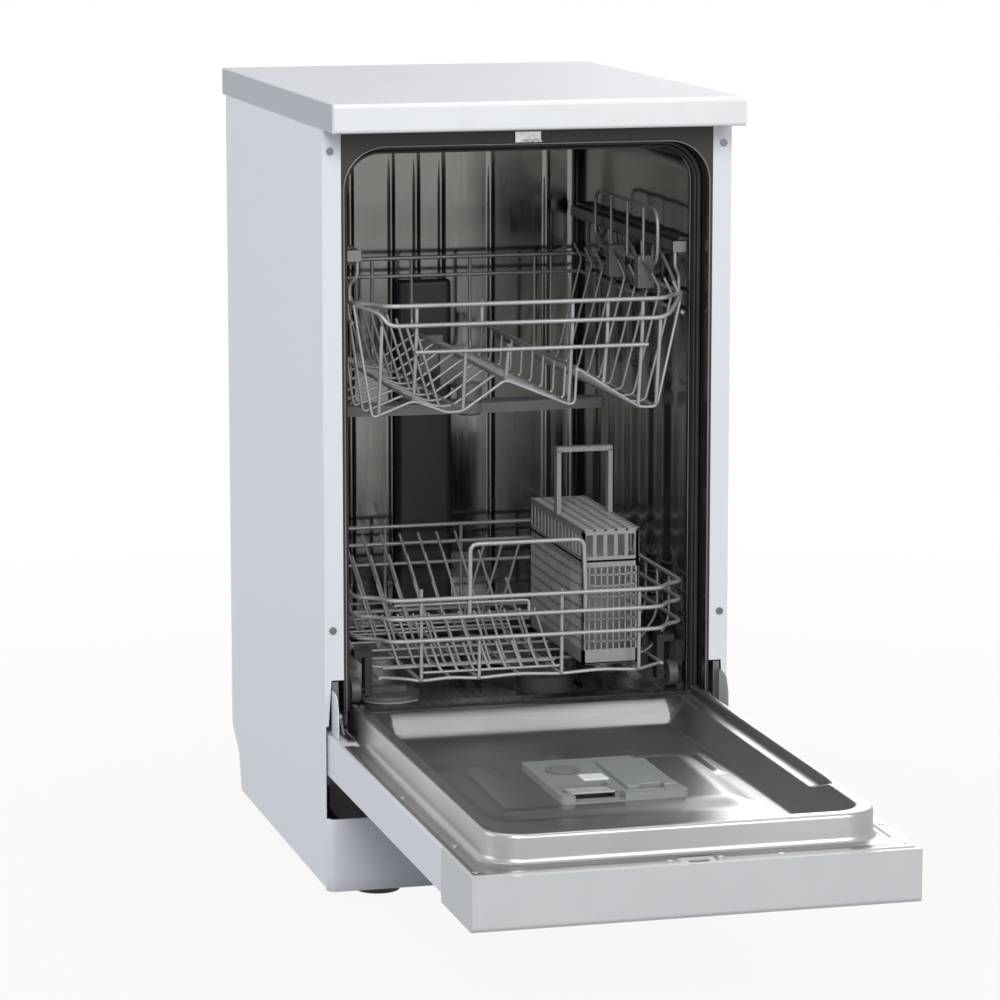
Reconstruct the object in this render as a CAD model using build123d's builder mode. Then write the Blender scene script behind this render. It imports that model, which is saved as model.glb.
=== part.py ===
from build123d import *
from math import atan2, cos, degrees, hypot, radians, sin
import os

# Slim free-standing dishwasher, 45 cm wide, with its door open and both baskets in place.
# Millimetres, Z up, X to the right, front towards -Y. The origin lies on the floor under the
# middle of the machine with its open door.

# Overall sizes
cabinet_width = 448.0
cabinet_depth = 512.0
machine_height = 857.0
cabinet_foot_gap = 15.0
sheet = 0.8

# Worktop
worktop_inset = 1.5
worktop_width = cabinet_width - 2 * worktop_inset
worktop_depth = 600.0
worktop_thickness = 30.0
worktop_overhang = 55.0

# Door and its hinge line
door_width = 443.0
door_thickness = 44.0
door_gap = 3.0
door_top_gap = 2.0
door_bottom = 112.0
hinge_inset = 12.0
hinge_height = 198.0

worktop_underside = machine_height - worktop_thickness
hinge_drop = hinge_inset + door_gap
door_plane = hinge_height - hinge_drop
door_face = door_plane - door_thickness
door_reach = worktop_underside - door_top_gap - hinge_height - hinge_inset
front = (door_reach - worktop_depth + worktop_overhang) / 2
rear = front + cabinet_depth
hinge_y = front + hinge_inset
door_end = front - door_reach
door_tail = hinge_y + hinge_height - door_bottom
half_cabinet = cabinet_width / 2
half_door = door_width / 2

# Side panels
flange_width = 20.5
flange_return = 12.0
flange_bottom = 242.0
lip_width = 7.0
lip_bottom = 192.0
top_fold = 14.0
bottom_fold = 18.0
panel_screw_heights = (296.0, 805.0)
panel_screw_inset = 9.0
cabinet_screw_head = 1.2

# Base
tray_inset = 15.0
tray_width = cabinet_width - 2 * tray_inset
tray_wall = 2.5
tray_floor = 3.0
tray_top = 88.0
rear_foot_line = 455.0
kick_top = 91.7
kick_bottom = 12.4
kick_inset = 1.3
kick_width = cabinet_width - 2 * kick_inset
kick_wall = 2.0
kick_depth = 44.0
foot_inset = 51.0
foot_x = tray_width / 2 - foot_inset
foot_ys = (42.0, 420.0)
foot_radius = 24.0
stud_radius = 5.0
foot_travel = 20.0
running = 0.06

# Tub
tub_half = half_cabinet - 34.0
tub_wall = 1.0
tub_top = machine_height - 59.0
tub_corner = 35.0
tub_back = 480.0
ledge_height = 203.0
neck_half = tub_half + 9.5
neck_top = tub_top + 9.5
neck_corner = 44.5
neck_depth = 40.0
neck_bottom = 190.0
rim_set_back = 1.2
pan_half = 163.0
pan_front = 50.0
pan_back = 468.0
pan_depth = 13.0
sill_front = 29.0
sill_bottom = 187.0
gasket_front = 28.5
frame_thickness = 1.2
frame_bottom = 206.0

# Water path
hub_x = 0.0
hub_depth = 255.0
filter_x = 60.0
filter_depth = 150.0
sump_radius = 42.5
sump_wall = 2.5
sump_bottom = 128.0
filter_radius = 31.5
salt_x = -137.0
salt_depth = 78.0
arm_reach = 157.0
arm_height = 12.0
stub_radius = 8.0
lower_arm_bottom = 213.5
upper_arm_bottom = 487.0
duct_half = 33.0
duct_depth = 18.0
duct_top = 612.0
feed_height = 511.5
feed_radius = 7.5

# Baskets
rim_wire = 2.5
mesh_wire = 1.6
basket_front = 2.0
basket_back = 447.0
front_half = tub_half - 42.0
upper_half = tub_half - 7.0
lower_half = tub_half - 7.0
upper_rims = (638.0, 618.0)
upper_front_bar = 590.0
upper_floor = 523.0
upper_leg = 24.0
lower_rims = (324.0, 303.5, 279.5)
lower_floor = 236.0
rail_height = 690.0
rail_front = 42.0
rail_back = 450.0
wheel_radius = 14.0
wheel_width = 11.0
wheel_x = tub_half - 11.0
wheel_depths = (60.0, 380.0)
axle_radius = 3.0

# Door inside
liner_half = tub_half + 5.5
liner_top = 212.5
bead_width = 10.0
track_inner = liner_half - 24.5
track_end = 425.0
liner_front = tub_top - 8.0 - hinge_height - hinge_inset
pan_end = liner_front - 16.0
pan_foot_half = track_inner - 21.0
pan_foot_end = liner_front - 40.0
liner_corner = 38.0
liner_flange = 0.8
liner_flange_half = half_door - 3.0
liner_flange_front = liner_front + 28.0
liner_flange_rear = 60.0
liner_sheet = 1.0
ramp_depth = 48.0
fascia_top = 496.0
fascia_step = 9.0
fascia_wall = 3.0
tail_thickness = 21.0
tail_start = 22.0
door_screw_head = 0.8
striker_height = neck_top + 5.0
pivot_radius = 4.0
arm_plate = (neck_half + 5.5, neck_half + 8.5)
bracket_plate = (neck_half + 9.5, neck_half + 12.0)
bracket_front = 4.0
bracket_back = 95.0
bracket_lip = 4.5
bracket_bottom = hinge_height - 11.0
bracket_top = hinge_height + 42.0

# Dispenser, on the pan of the door
dispenser_half = 66.0
dispenser_near = 369.0
dispenser_far = 213.0
dispenser_height = 15.0


def at(depth):
    """Y of a point that lies this far behind the cabinet's front edge."""
    return front + depth


def slab(x, y, z, mode=Mode.ADD):
    """Add a box between three pairs of limits to the piece being built."""
    with Locations(((x[0] + x[1]) / 2, (y[0] + y[1]) / 2, (z[0] + z[1]) / 2)):
        Box(abs(x[1] - x[0]), abs(y[1] - y[0]), abs(z[1] - z[0]), mode=mode)


def rod(start, end, radius, mode=Mode.ADD):
    """Add a round bar from one point to another to the piece being built."""
    run = Vector(end) - Vector(start)
    with BuildSketch(Plane(origin=start, z_dir=run)) as section:
        Circle(radius)
    extrude(section.sketch, amount=run.length, mode=mode)


def block(x, y, z):
    """One flat-sided piece of a welded or moulded lattice, as a solid of its own."""
    with BuildPart() as plate:
        slab(x, y, z)
    return plate.part.solid()


def wire(start, end, radius):
    """One straight wire of a welded basket, as a solid of its own."""
    with BuildPart() as bar:
        rod(start, end, radius)
    return bar.part.solid()


def wire_chain(points, radius):
    """The straight runs of one bent wire."""
    return [wire(a, b, radius) for a, b in zip(points, points[1:])]


def keep(piece, name):
    """Label a finished piece and write it to its file."""
    piece.label = name
    export_step(piece, f"parts/{name}.step")


os.makedirs("parts", exist_ok=True)


def arch(half, top, radius, bottom):
    """Fill a sketch with an opening that has two rounded upper corners."""
    with BuildLine() as outline:
        FilletPolyline((-half, bottom), (-half, top), (half, top), (half, bottom), radius=radius)
        Line((half, bottom), (-half, bottom))
    make_face(outline.edges())


def across(depth):
    """The upright plane across the machine at this depth, facing the front."""
    return Plane.XZ.offset(-at(depth))


# Cabinet

with BuildPart() as worktop:
    slab((-worktop_width / 2, worktop_width / 2),
         (at(10 - worktop_overhang), at(worktop_depth - worktop_overhang)),
         (worktop_underside, machine_height))
    fillet(worktop.edges().filter_by(Axis.Z).group_by(Axis.Y)[-1], 6.0)
    fillet(worktop.faces().sort_by(Axis.Z)[-1].edges().filter_by(Axis.Y), 1.5)
keep(worktop.part, "worktop")

with BuildPart() as worktop_front_edge:
    slab((-worktop_width / 2, worktop_width / 2),
         (at(-worktop_overhang), at(10 - worktop_overhang)),
         (worktop_underside, machine_height))
    fillet(worktop_front_edge.edges().filter_by(Axis.X).group_by(Axis.Y)[0], 4.0)
keep(worktop_front_edge.part, "worktop_front_edge")


def side_panel(side):
    """One side panel with its front flange, the lip below the flange, and the inward folds."""
    inner = side * (half_cabinet - sheet)
    outer = side * half_cabinet
    flange_edge = side * (half_cabinet - flange_width)
    with BuildPart() as panel:
        with BuildSketch(Plane.YZ.offset(min(inner, outer))):
            with BuildLine():
                Polyline((front, cabinet_foot_gap), (at(460), cabinet_foot_gap), (at(473), 57),
                         (rear, 85), (rear, worktop_underside), (front, worktop_underside),
                         close=True)
            make_face()
        extrude(amount=sheet)
        slab((flange_edge, outer), (front, at(sheet)), (flange_bottom, worktop_underside))
        slab((flange_edge, flange_edge + side * sheet), (front, at(flange_return)),
             (flange_bottom, worktop_underside))
        with BuildSketch(across(sheet)):
            with BuildLine():
                Polyline((outer, lip_bottom), (outer, flange_bottom),
                         (outer - side * lip_width, flange_bottom),
                         (outer - side * lip_width / 2, lip_bottom), close=True)
            make_face()
        extrude(amount=sheet)
        slab((outer - side * top_fold, outer), (front, rear),
             (worktop_underside - sheet, worktop_underside))
        slab((outer - side * bottom_fold, outer), (at(50), at(455)),
             (cabinet_foot_gap, cabinet_foot_gap + sheet))
        slab((outer - side * bottom_fold, outer), (rear - sheet, rear), (90, worktop_underside))
        for height in panel_screw_heights:
            rod((outer - side * panel_screw_inset, at(-2), height),
                (outer - side * panel_screw_inset, at(4), height), 2.1, Mode.SUBTRACT)
    return panel.part


keep(side_panel(-1), "side_panel_left")
keep(side_panel(1), "side_panel_right")

valve_x = -150.0
drain_x = 150.0
terminal_x = -30.0
service_height = 125.0
thread_radius = 13.2
spigot_radius = 9.5
gland_radius = 9.0
rear_face = 511.2

with BuildPart() as rear_panel:
    slab((sheet - half_cabinet + 1, half_cabinet - sheet - 1), (at(rear_face - sheet), at(rear_face)),
         (90, worktop_underside - sheet))
    for x, radius in ((valve_x, thread_radius), (drain_x, spigot_radius), (terminal_x, gland_radius)):
        rod((x, at(500), service_height), (x, at(520), service_height), radius + 0.8, Mode.SUBTRACT)
keep(rear_panel.part, "rear_panel")

foot_points = [(x, at(depth)) for depth in foot_ys for x in (-foot_x, foot_x)]
tray_bottom = cabinet_foot_gap + sheet
tray_front = 2.0 + kick_wall
boss_top = 66.0

with BuildPart() as base_tray:
    slab((-tray_width / 2, tray_width / 2), (at(tray_front), at(460)), (tray_bottom, tray_top))
    slab((tray_wall - tray_width / 2, tray_width / 2 - tray_wall),
         (at(tray_front + tray_wall), at(460 - tray_wall)),
         (tray_bottom + tray_floor, tray_top + 1), Mode.SUBTRACT)
    with Locations(*[(x, y, (tray_bottom + boss_top) / 2) for x, y in foot_points]):
        Cylinder(11, boss_top - tray_bottom)
    with Locations(*[(x, y, (tray_bottom + boss_top) / 2 - 2) for x, y in foot_points]):
        Cylinder(stud_radius + running, boss_top - tray_bottom, mode=Mode.SUBTRACT)
keep(base_tray.part, "base_tray")

with BuildPart() as kickplate:
    slab((-kick_width / 2, kick_width / 2), (at(2), at(kick_depth)), (kick_bottom, kick_top))
    fillet(kickplate.edges().filter_by(Axis.Z).group_by(Axis.Y)[0], 14.0)
    slab((kick_wall - kick_width / 2, kick_width / 2 - kick_wall), (at(2 + kick_wall), at(kick_depth + 1)),
         (kick_bottom - 1, kick_top - kick_wall), Mode.SUBTRACT)
keep(kickplate.part, "kickplate")

for number, (x, y) in enumerate(foot_points):
    corner = ("front_left", "front_right", "rear_left", "rear_right")[number]
    with BuildPart() as foot:
        with Locations((x, y, 4)):
            Cylinder(foot_radius, 8)
        fillet(foot.edges().group_by(Axis.Z)[-1], 3.0)
        with BuildSketch(Plane.XY.offset(8)):
            with Locations((x, y)):
                RegularPolygon(12, 6)
        extrude(amount=tray_bottom - 8 - 0.3)
        rod((x, y, 8), (x, y, boss_top - 8), stud_radius)
    keep(foot.part, f"foot_{corner}")

frame_half = half_cabinet - flange_width
with BuildPart() as mouth_frame:
    with BuildSketch(across(1 + frame_thickness)):
        with Locations((0, (worktop_underside + frame_bottom) / 2)):
            Rectangle(2 * frame_half, worktop_underside - frame_bottom)
    extrude(amount=frame_thickness)
    with BuildSketch(across(2 + frame_thickness)):
        arch(neck_half + tub_wall, neck_top + tub_wall, neck_corner + tub_wall, frame_bottom - 1)
    extrude(amount=2 + frame_thickness, mode=Mode.SUBTRACT)
keep(mouth_frame.part, "mouth_frame")

# The latch striker: a plate on the frame and a tongue with a slot for the hook, from flat bars
striker_x = (-15.4, 12.6)
tongue_x = (-5.0, 9.0)
slot_x = (-1.0, 5.0)
tongue = (striker_height - 1, striker_height + 1)
striker_plates = [
    block(striker_x, (at(-1), at(1)), (striker_height - 2.5, striker_height + 9)),
    block((tongue_x[0], slot_x[0]), (at(-18), at(-1)), tongue),
    block((slot_x[1], tongue_x[1]), (at(-18), at(-1)), tongue),
    block(slot_x, (at(-18), at(-15)), tongue),
    block(slot_x, (at(-8), at(-1)), tongue),
]
keep(Compound(striker_plates), "latch_striker")

with BuildPart() as cabinet_screws:
    for side in (-1, 1):
        for height in panel_screw_heights:
            x = side * (half_cabinet - panel_screw_inset)
            rod((x, at(-cabinet_screw_head), height), (x, at(0), height), 4.0)
            rod((x, at(0), height), (x, at(8), height), 2.0)
        for height in (120, 450, 780):
            x = side * (half_cabinet - panel_screw_inset)
            rod((x, rear, height), (x, at(514), height), 4.0)
keep(cabinet_screws.part, "cabinet_screws")

# Tub

with BuildPart() as tub_shell:
    with BuildSketch(across(tub_back + tub_wall)):
        arch(tub_half + tub_wall, tub_top + tub_wall, tub_corner + tub_wall, ledge_height - tub_wall)
    extrude(amount=tub_back + 2 * tub_wall - neck_depth)
    with BuildSketch(across(neck_depth)):
        arch(neck_half + tub_wall, neck_top + tub_wall, neck_corner + tub_wall, neck_bottom)
    extrude(amount=neck_depth - rim_set_back)
    with BuildSketch(across(neck_depth - tub_wall)):
        arch(neck_half, neck_top, neck_corner, neck_bottom - 1)
    extrude(amount=neck_depth, mode=Mode.SUBTRACT)
    with BuildSketch(across(tub_back)):
        arch(tub_half, tub_top, tub_corner, neck_bottom - 2)
    extrude(amount=tub_back, mode=Mode.SUBTRACT)
keep(tub_shell.part, "tub_shell")

hub_y = at(hub_depth)
filter_y = at(filter_depth)
filter_run = hypot(filter_x - hub_x, filter_depth - hub_depth)
filter_turn = degrees(atan2(filter_depth - hub_depth, filter_x - hub_x))
salt_y = at(salt_depth)
pan_floor = ledge_height - pan_depth
pan_centre = at((pan_front + pan_back) / 2)
pan_length = pan_back - pan_front
neck_of_salt = 33.0
sump_point = ((hub_x + filter_x) / 2, (hub_y + filter_y) / 2)


def pan_section(height, growth):
    """The outline of the sloping floor pan at a height between its ledge and its foot."""
    inward = ledge_height - height
    with BuildSketch(Plane.XY.offset(height)) as section:
        with Locations((0, pan_centre)):
            RectangleRounded(2 * (pan_half - inward + growth), pan_length - 2 * (inward - growth), 22)
    return section.sketch


def oblong(height, radius, amount, mode=Mode.ADD):
    """Raise the slot shape that takes in both the arm's hub and the filter."""
    with BuildSketch(Plane.XY.offset(height)) as section:
        with Locations(sump_point):
            SlotCenterToCenter(filter_run, 2 * radius, rotation=filter_turn)
    extrude(section.sketch, amount=amount, mode=mode)


with BuildPart() as tub_floor:
    slab((-tub_half, tub_half), (at(neck_depth - tub_wall), at(tub_back)),
         (ledge_height - tub_wall, ledge_height))
    slab((-neck_half, neck_half), (at(sill_front), at(neck_depth - tub_wall)),
         (ledge_height - tub_wall, ledge_height))
    slab((-neck_half, neck_half), (at(sill_front), at(sill_front + tub_wall)),
         (sill_bottom, ledge_height))
    loft([pan_section(ledge_height - tub_wall, tub_wall), pan_section(pan_floor - tub_wall, tub_wall)])
    loft([pan_section(ledge_height, 0), pan_section(pan_floor, 0)], mode=Mode.SUBTRACT)
    oblong(pan_floor - 2, sump_radius, 4, Mode.SUBTRACT)
    rod((salt_x, salt_y, pan_floor - 5), (salt_x, salt_y, ledge_height + 5), neck_of_salt,
        Mode.SUBTRACT)
keep(tub_floor.part, "tub_floor")

with BuildPart() as door_gasket:
    with BuildSketch(across(neck_depth - tub_wall)):
        arch(neck_half, neck_top, neck_corner, ledge_height)
    extrude(amount=neck_depth - tub_wall - gasket_front)
    with BuildSketch(across(neck_depth)):
        arch(tub_half + 0.6, tub_top + 0.6, tub_corner + 0.6, ledge_height - 1)
    extrude(amount=neck_depth, mode=Mode.SUBTRACT)
    fillet(door_gasket.faces().sort_by(Axis.Y)[0].edges().filter_by(GeomType.LINE).filter_by(Axis.Z), 2)
keep(door_gasket.part, "door_gasket")

with BuildPart() as lower_door_seal:
    slab((-tub_half, tub_half), (at(sill_front - 1), at(sill_front)), (sill_bottom + 1, ledge_height - 1))
keep(lower_door_seal.part, "lower_door_seal")

with BuildPart() as feed_duct:
    slab((-duct_half, duct_half), (at(tub_back - duct_depth), at(tub_back)), (ledge_height, duct_top))
    fillet(feed_duct.edges().filter_by(Axis.Z).group_by(Axis.Y)[0], 8.0)
    fillet(feed_duct.faces().sort_by(Axis.Z)[-1].edges().group_by(Axis.Y)[0], 6.0)
    rod((0, at(basket_back + 5), feed_height), (0, at(tub_back - duct_depth), feed_height), 12.0)
    rod((0, at(basket_back), feed_height), (0, at(tub_back - duct_depth), feed_height), 6.0,
        Mode.SUBTRACT)
keep(feed_duct.part, "feed_duct")

nut_height = 3.7
lower_arm_top = lower_arm_bottom + arm_height
with BuildPart() as sump:
    oblong(sump_bottom, sump_radius + sump_wall, pan_floor - tub_wall - sump_bottom)
    oblong(pan_floor - tub_wall - 2, sump_radius + 9, 2)
    oblong(sump_bottom + 3, sump_radius, pan_floor - sump_bottom, Mode.SUBTRACT)
    oblong(pan_floor - 6, sump_radius, 2)
    rod((filter_x, filter_y, pan_floor - 10), (filter_x, filter_y, pan_floor + 5), filter_radius + 0.3,
        Mode.SUBTRACT)
    rod((hub_x, hub_y, sump_bottom), (hub_x, hub_y, lower_arm_bottom - 0.3), 14.0)
    rod((hub_x, hub_y, lower_arm_bottom - 1), (hub_x, hub_y, lower_arm_top + nut_height), stub_radius)
    rod((hub_x, hub_y, lower_arm_top + 0.3), (hub_x, hub_y, lower_arm_top + nut_height), 12.0)
keep(sump.part, "sump")


def spray_arm(x, y, bottom, reach, name):
    """A spray arm: a hub that turns on a stub, two tapered blades, and jets in the blades."""
    with BuildPart() as arm:
        with BuildSketch(Plane.XY.offset(bottom)):
            with BuildLine():
                Polyline((x - reach, y - 11), (x, y - 20), (x + reach, y - 11),
                         (x + reach, y + 11), (x, y + 20), (x - reach, y + 11), close=True)
            make_face()
            fillet(vertices().group_by(Axis.X)[0] + vertices().group_by(Axis.X)[-1], 8.0)
        extrude(amount=arm_height)
        fillet(arm.faces().sort_by(Axis.Z)[-1].edges(), 2.0)
        with Locations((x, y, bottom + arm_height / 2)):
            Cylinder(22, arm_height)
            Cylinder(stub_radius + running, arm_height + 2, mode=Mode.SUBTRACT)
        jets = [(x + along, y + along * 0.03, bottom + arm_height)
                for along in (-144, -118, -90, -56, 44, 74, 106, 134)]
        with Locations(*jets):
            Box(9, 2.2, 4, mode=Mode.SUBTRACT)
    keep(arm.part, name)


spray_arm(hub_x, hub_y, lower_arm_bottom, arm_reach, "lower_spray_arm")
spray_arm(hub_x, hub_y, upper_arm_bottom, arm_reach, "upper_spray_arm")

with BuildPart() as filter_cup:
    rod((filter_x, filter_y, sump_bottom + 8), (filter_x, filter_y, ledge_height + 2), filter_radius)
    rod((filter_x, filter_y, pan_floor - 3.7), (filter_x, filter_y, pan_floor - 1), filter_radius + 4)
    rod((filter_x, filter_y, sump_bottom + 11), (filter_x, filter_y, ledge_height + 5),
        filter_radius - 2.5, Mode.SUBTRACT)
    slab((filter_x - filter_radius + 1, filter_x + filter_radius - 1), (filter_y - 2, filter_y + 2),
         (ledge_height - 6, lower_arm_bottom - 3))
keep(filter_cup.part, "filter_cup")

salt_cap_bottom = ledge_height + 1.6
with BuildPart() as salt_cap:
    rod((salt_x, salt_y, salt_cap_bottom), (salt_x, salt_y, salt_cap_bottom + 5), 35.0)
    fillet(salt_cap.edges().group_by(Axis.Z)[-1], 1.5)
    rod((salt_x, salt_y, pan_floor), (salt_x, salt_y, salt_cap_bottom), neck_of_salt - 4 - running)
    slab((salt_x - 20, salt_x + 20), (salt_y - 4, salt_y + 4), (salt_cap_bottom + 4, salt_cap_bottom + 11))
keep(salt_cap.part, "salt_cap")

base_floor = tray_bottom + tray_floor
softener_x = (-205.0, -68.0)
with BuildPart() as water_softener:
    slab(softener_x, (at(120), at(212)), (98, 182))
    fillet(water_softener.edges().filter_by(Axis.Z), 10.0)
    slab((-172, -102), (at(salt_depth), at(122)), (164, 182))
    rod((salt_x, salt_y, 164), (salt_x, salt_y, salt_cap_bottom - 0.3), neck_of_salt)
    rod((salt_x, salt_y, 167), (salt_x, salt_y, salt_cap_bottom + 1), neck_of_salt - 4, Mode.SUBTRACT)
    for depth in (135, 197):
        slab((-190, -84), (at(depth), at(depth + 8)), (base_floor, 98))
keep(water_softener.part, "water_softener")

pump_height = 142.0
with BuildPart() as circulation_pump:
    rod((-112, at(224), pump_height), (-112, at(262), pump_height), 40.0)
    rod((-112, at(262), pump_height), (-112, at(395), pump_height), 33.0)
    rod((-112, hub_y - 12, pump_height), (-sump_radius - sump_wall, hub_y - 12, pump_height), 13.0)
    for depth in (240, 360):
        slab((-130, -94), (at(depth), at(depth + 8)), (base_floor, pump_height - 20))
keep(circulation_pump.part, "circulation_pump")

with BuildPart() as drain_pump:
    rod((drain_x, at(250), service_height), (drain_x, at(330), service_height), 27.0)
    rod((drain_x, at(330), service_height), (drain_x, at(534), service_height), spigot_radius)
    rod((drain_x, at(520), service_height), (drain_x, at(523), service_height), spigot_radius + 1.5)
    rod((drain_x, at(340), service_height), (drain_x, at(535), service_height), spigot_radius - 2.5,
        Mode.SUBTRACT)
    rod((filter_x + sump_radius + sump_wall - 3, at(250), service_height + 20),
        (drain_x, at(262), service_height + 10), 11.0)
    slab((drain_x - 15, drain_x + 15), (at(280), at(288)), (base_floor, service_height - 15))
keep(drain_pump.part, "drain_pump")

with BuildPart() as inlet_valve:
    slab((valve_x - 22, valve_x + 22), (at(450), at(rear_face - sheet)),
         (service_height - 30, service_height + 26))
    rod((valve_x, at(rear_face - sheet), service_height), (valve_x, at(530), service_height),
        thread_radius)
    rod((valve_x, at(rear_face), service_height), (valve_x, at(515), service_height), thread_radius + 3)
    rod((valve_x, at(rear_face), service_height), (valve_x, at(531), service_height), 8.0, Mode.SUBTRACT)
keep(inlet_valve.part, "inlet_valve")

with BuildPart() as terminal_box:
    slab((terminal_x - 36, terminal_x + 36), (at(470), at(rear_face - sheet)),
         (service_height - 30, service_height + 30))
    rod((terminal_x, at(rear_face - sheet), service_height), (terminal_x, at(532), service_height),
        gland_radius)
    rod((terminal_x, at(rear_face), service_height), (terminal_x, at(533), service_height), 4.0,
        Mode.SUBTRACT)
keep(terminal_box.part, "terminal_box")

with BuildPart() as air_break:
    slab((sheet - half_cabinet, -tub_half - 6), (at(140), at(330)), (260, 640))
    fillet(air_break.edges().filter_by(Axis.X), 18.0)
keep(air_break.part, "air_break")

# Basket rails, fixed to the tub walls

channel_half = 10.0
slide_half = 6.0
with BuildPart() as upper_rails:
    for side in (-1, 1):
        slab((side * (tub_half - 10), side * tub_half), (at(rail_front + 4), at(rail_back)),
             (rail_height - channel_half, rail_height + channel_half))
        slab((side * (tub_half - 11), side * (tub_half - 2.2)), (at(rail_front), at(rail_back + 1)),
             (rail_height - slide_half - 0.3, rail_height + slide_half + 0.3), Mode.SUBTRACT)
keep(upper_rails.part, "upper_rails")

with BuildPart() as basket_slides:
    for side in (-1, 1):
        slab((side * (tub_half - 17.5), side * (tub_half - 2.5)), (at(rail_front), at(rail_back - 2)),
             (rail_height - slide_half, rail_height + slide_half))
    fillet(basket_slides.edges().filter_by(Axis.Y), 1.5)
keep(basket_slides.part, "basket_slides")

# Door, drawn open: its inner plane is up and its top edge is towards the front

fascia_face = door_face - fascia_step
half_seam = liner_half
with BuildPart() as door_outer_panel:
    slab((-half_door, half_door), (at(-fascia_top), at(tail_start)), (door_face, door_plane))
    slab((-half_door, half_door), (at(0), door_tail), (door_face, door_face + tail_thickness))
    slab((sheet - half_door, half_door - sheet), (at(-fascia_top - 1), at(tail_start - sheet)),
         (door_face + sheet, door_plane - sheet), Mode.SUBTRACT)
    slab((sheet - half_door, half_door - sheet), (at(0), door_tail - sheet),
         (door_face + sheet, door_face + tail_thickness - sheet), Mode.SUBTRACT)
    slab((-half_seam, half_seam), (at(-fascia_top - 1), at(10)), (door_face + 5, door_plane + 1),
         Mode.SUBTRACT)
keep(door_outer_panel.part, "door_outer_panel")

grip_half = 74.0
grip_far = 500.0
grip_near = 530.0
grip_depth = 24.0
grip_wall = 2.0
flange_sheet = 2.0
button_points = ((92.0, "programme"), (122.0, "start"), (-150.0, "power"))
button_depth = -562.0
button_radius = 7.0
window_x = (-36.0, 52.0)
window_depths = (-575.0, -549.0)
latch_x = (-8.5, 12.3)
latch_middle = hinge_inset - (striker_height - hinge_height)

with BuildPart() as control_panel:
    slab((-half_door, half_door), (door_end, at(-fascia_top)), (fascia_face, door_plane))
    fillet(control_panel.edges().filter_by(Axis.X).group_by(Axis.Y)[0].sort_by(Axis.Z)[0], 6)
    slab((fascia_wall - half_door, half_door - fascia_wall),
         (door_end + fascia_wall, at(-fascia_top - fascia_wall)),
         (fascia_face + fascia_wall, door_plane - flange_sheet), Mode.SUBTRACT)
    slab((-half_seam, half_seam), (at(-liner_front), at(-fascia_top + 1)),
         (door_face + 1, door_plane + 1), Mode.SUBTRACT)
    slab((fascia_wall - half_door, half_door - fascia_wall),
         (at(-fascia_top - fascia_wall - 1), at(-fascia_top + 1)),
         (door_face, door_plane - flange_sheet), Mode.SUBTRACT)
    slab((-grip_half - grip_wall, grip_half + grip_wall),
         (at(-grip_near - grip_wall), at(-grip_far + grip_wall)),
         (fascia_face, fascia_face + grip_depth + grip_wall))
    slab((-grip_half, grip_half), (at(-grip_near), at(-grip_far)),
         (fascia_face - 1, fascia_face + grip_depth), Mode.SUBTRACT)
    slab(latch_x, (at(latch_middle - 5), at(latch_middle + 5)), (door_plane - 4, door_plane + 1),
         Mode.SUBTRACT)
    slab(window_x, (at(window_depths[0]), at(window_depths[1])),
         (fascia_face - 1, fascia_face + fascia_wall + 1), Mode.SUBTRACT)
    for x, label in button_points:
        rod((x, at(button_depth), fascia_face - 1), (x, at(button_depth), fascia_face + fascia_wall + 1),
            button_radius + 0.15, Mode.SUBTRACT)
keep(control_panel.part, "control_panel")

with BuildPart() as display_window:
    slab(window_x, (at(window_depths[0]), at(window_depths[1])),
         (fascia_face + 0.4, fascia_face + fascia_wall))
    slab((window_x[0] - 4, window_x[1] + 4), (at(window_depths[0] - 4), at(window_depths[1] + 4)),
         (fascia_face + fascia_wall, fascia_face + fascia_wall + 1.6))
keep(display_window.part, "display_window")

button_stop = fascia_face + fascia_wall + 4.5
for x, label in button_points:
    with BuildPart() as button:
        rod((x, at(button_depth), fascia_face - 1.5), (x, at(button_depth), button_stop),
            button_radius)
        rod((x, at(button_depth), fascia_face + fascia_wall + 0.3),
            (x, at(button_depth), fascia_face + fascia_wall + 1.8), button_radius + 1.6)
        fillet(button.edges().group_by(Axis.Z)[0], 0.8)
    keep(button.part, f"button_{label}")

latch_far = 583.0
latch_near = 608.0
hook_pivot_depth = -593.0
hook_pivot_height = 158.0
with BuildPart() as latch_body:
    slab((-22, 26), (at(-latch_near - 3), at(-latch_far + 3)), (150, door_plane - flange_sheet))
    slab(latch_x, (at(-latch_near), at(-latch_far)), (153, door_plane), Mode.SUBTRACT)
    rod((-16, at(hook_pivot_depth), hook_pivot_height), (20, at(hook_pivot_depth), hook_pivot_height),
        2.0 + running, Mode.SUBTRACT)
keep(latch_body.part, "latch_body")

with BuildPart() as latch_hook:
    rod((-15.5, at(hook_pivot_depth), hook_pivot_height),
        (19.5, at(hook_pivot_depth), hook_pivot_height), 2.0)
    slab((-0.2, 4.2), (at(hook_pivot_depth - 2), at(hook_pivot_depth + 2)), (hook_pivot_height, 179))
    slab((-0.2, 4.2), (at(latch_middle - 3), at(hook_pivot_depth)), (172.5, 176.5))
keep(latch_hook.part, "latch_hook")

pan_top = door_plane - 5
rise_of_pan = (track_inner - pan_foot_half) / (ledge_height - pan_top)


def front_rounded(half, front_end, rear_end, bottom, top, radius):
    """A block across the door whose two upright front edges are rounded."""
    with BuildPart() as blank:
        slab((-half, half), (at(-front_end), at(rear_end)), (bottom, top))
        fillet(blank.edges().filter_by(Axis.Z).group_by(Axis.Y)[0], radius)
    return blank.part


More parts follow.
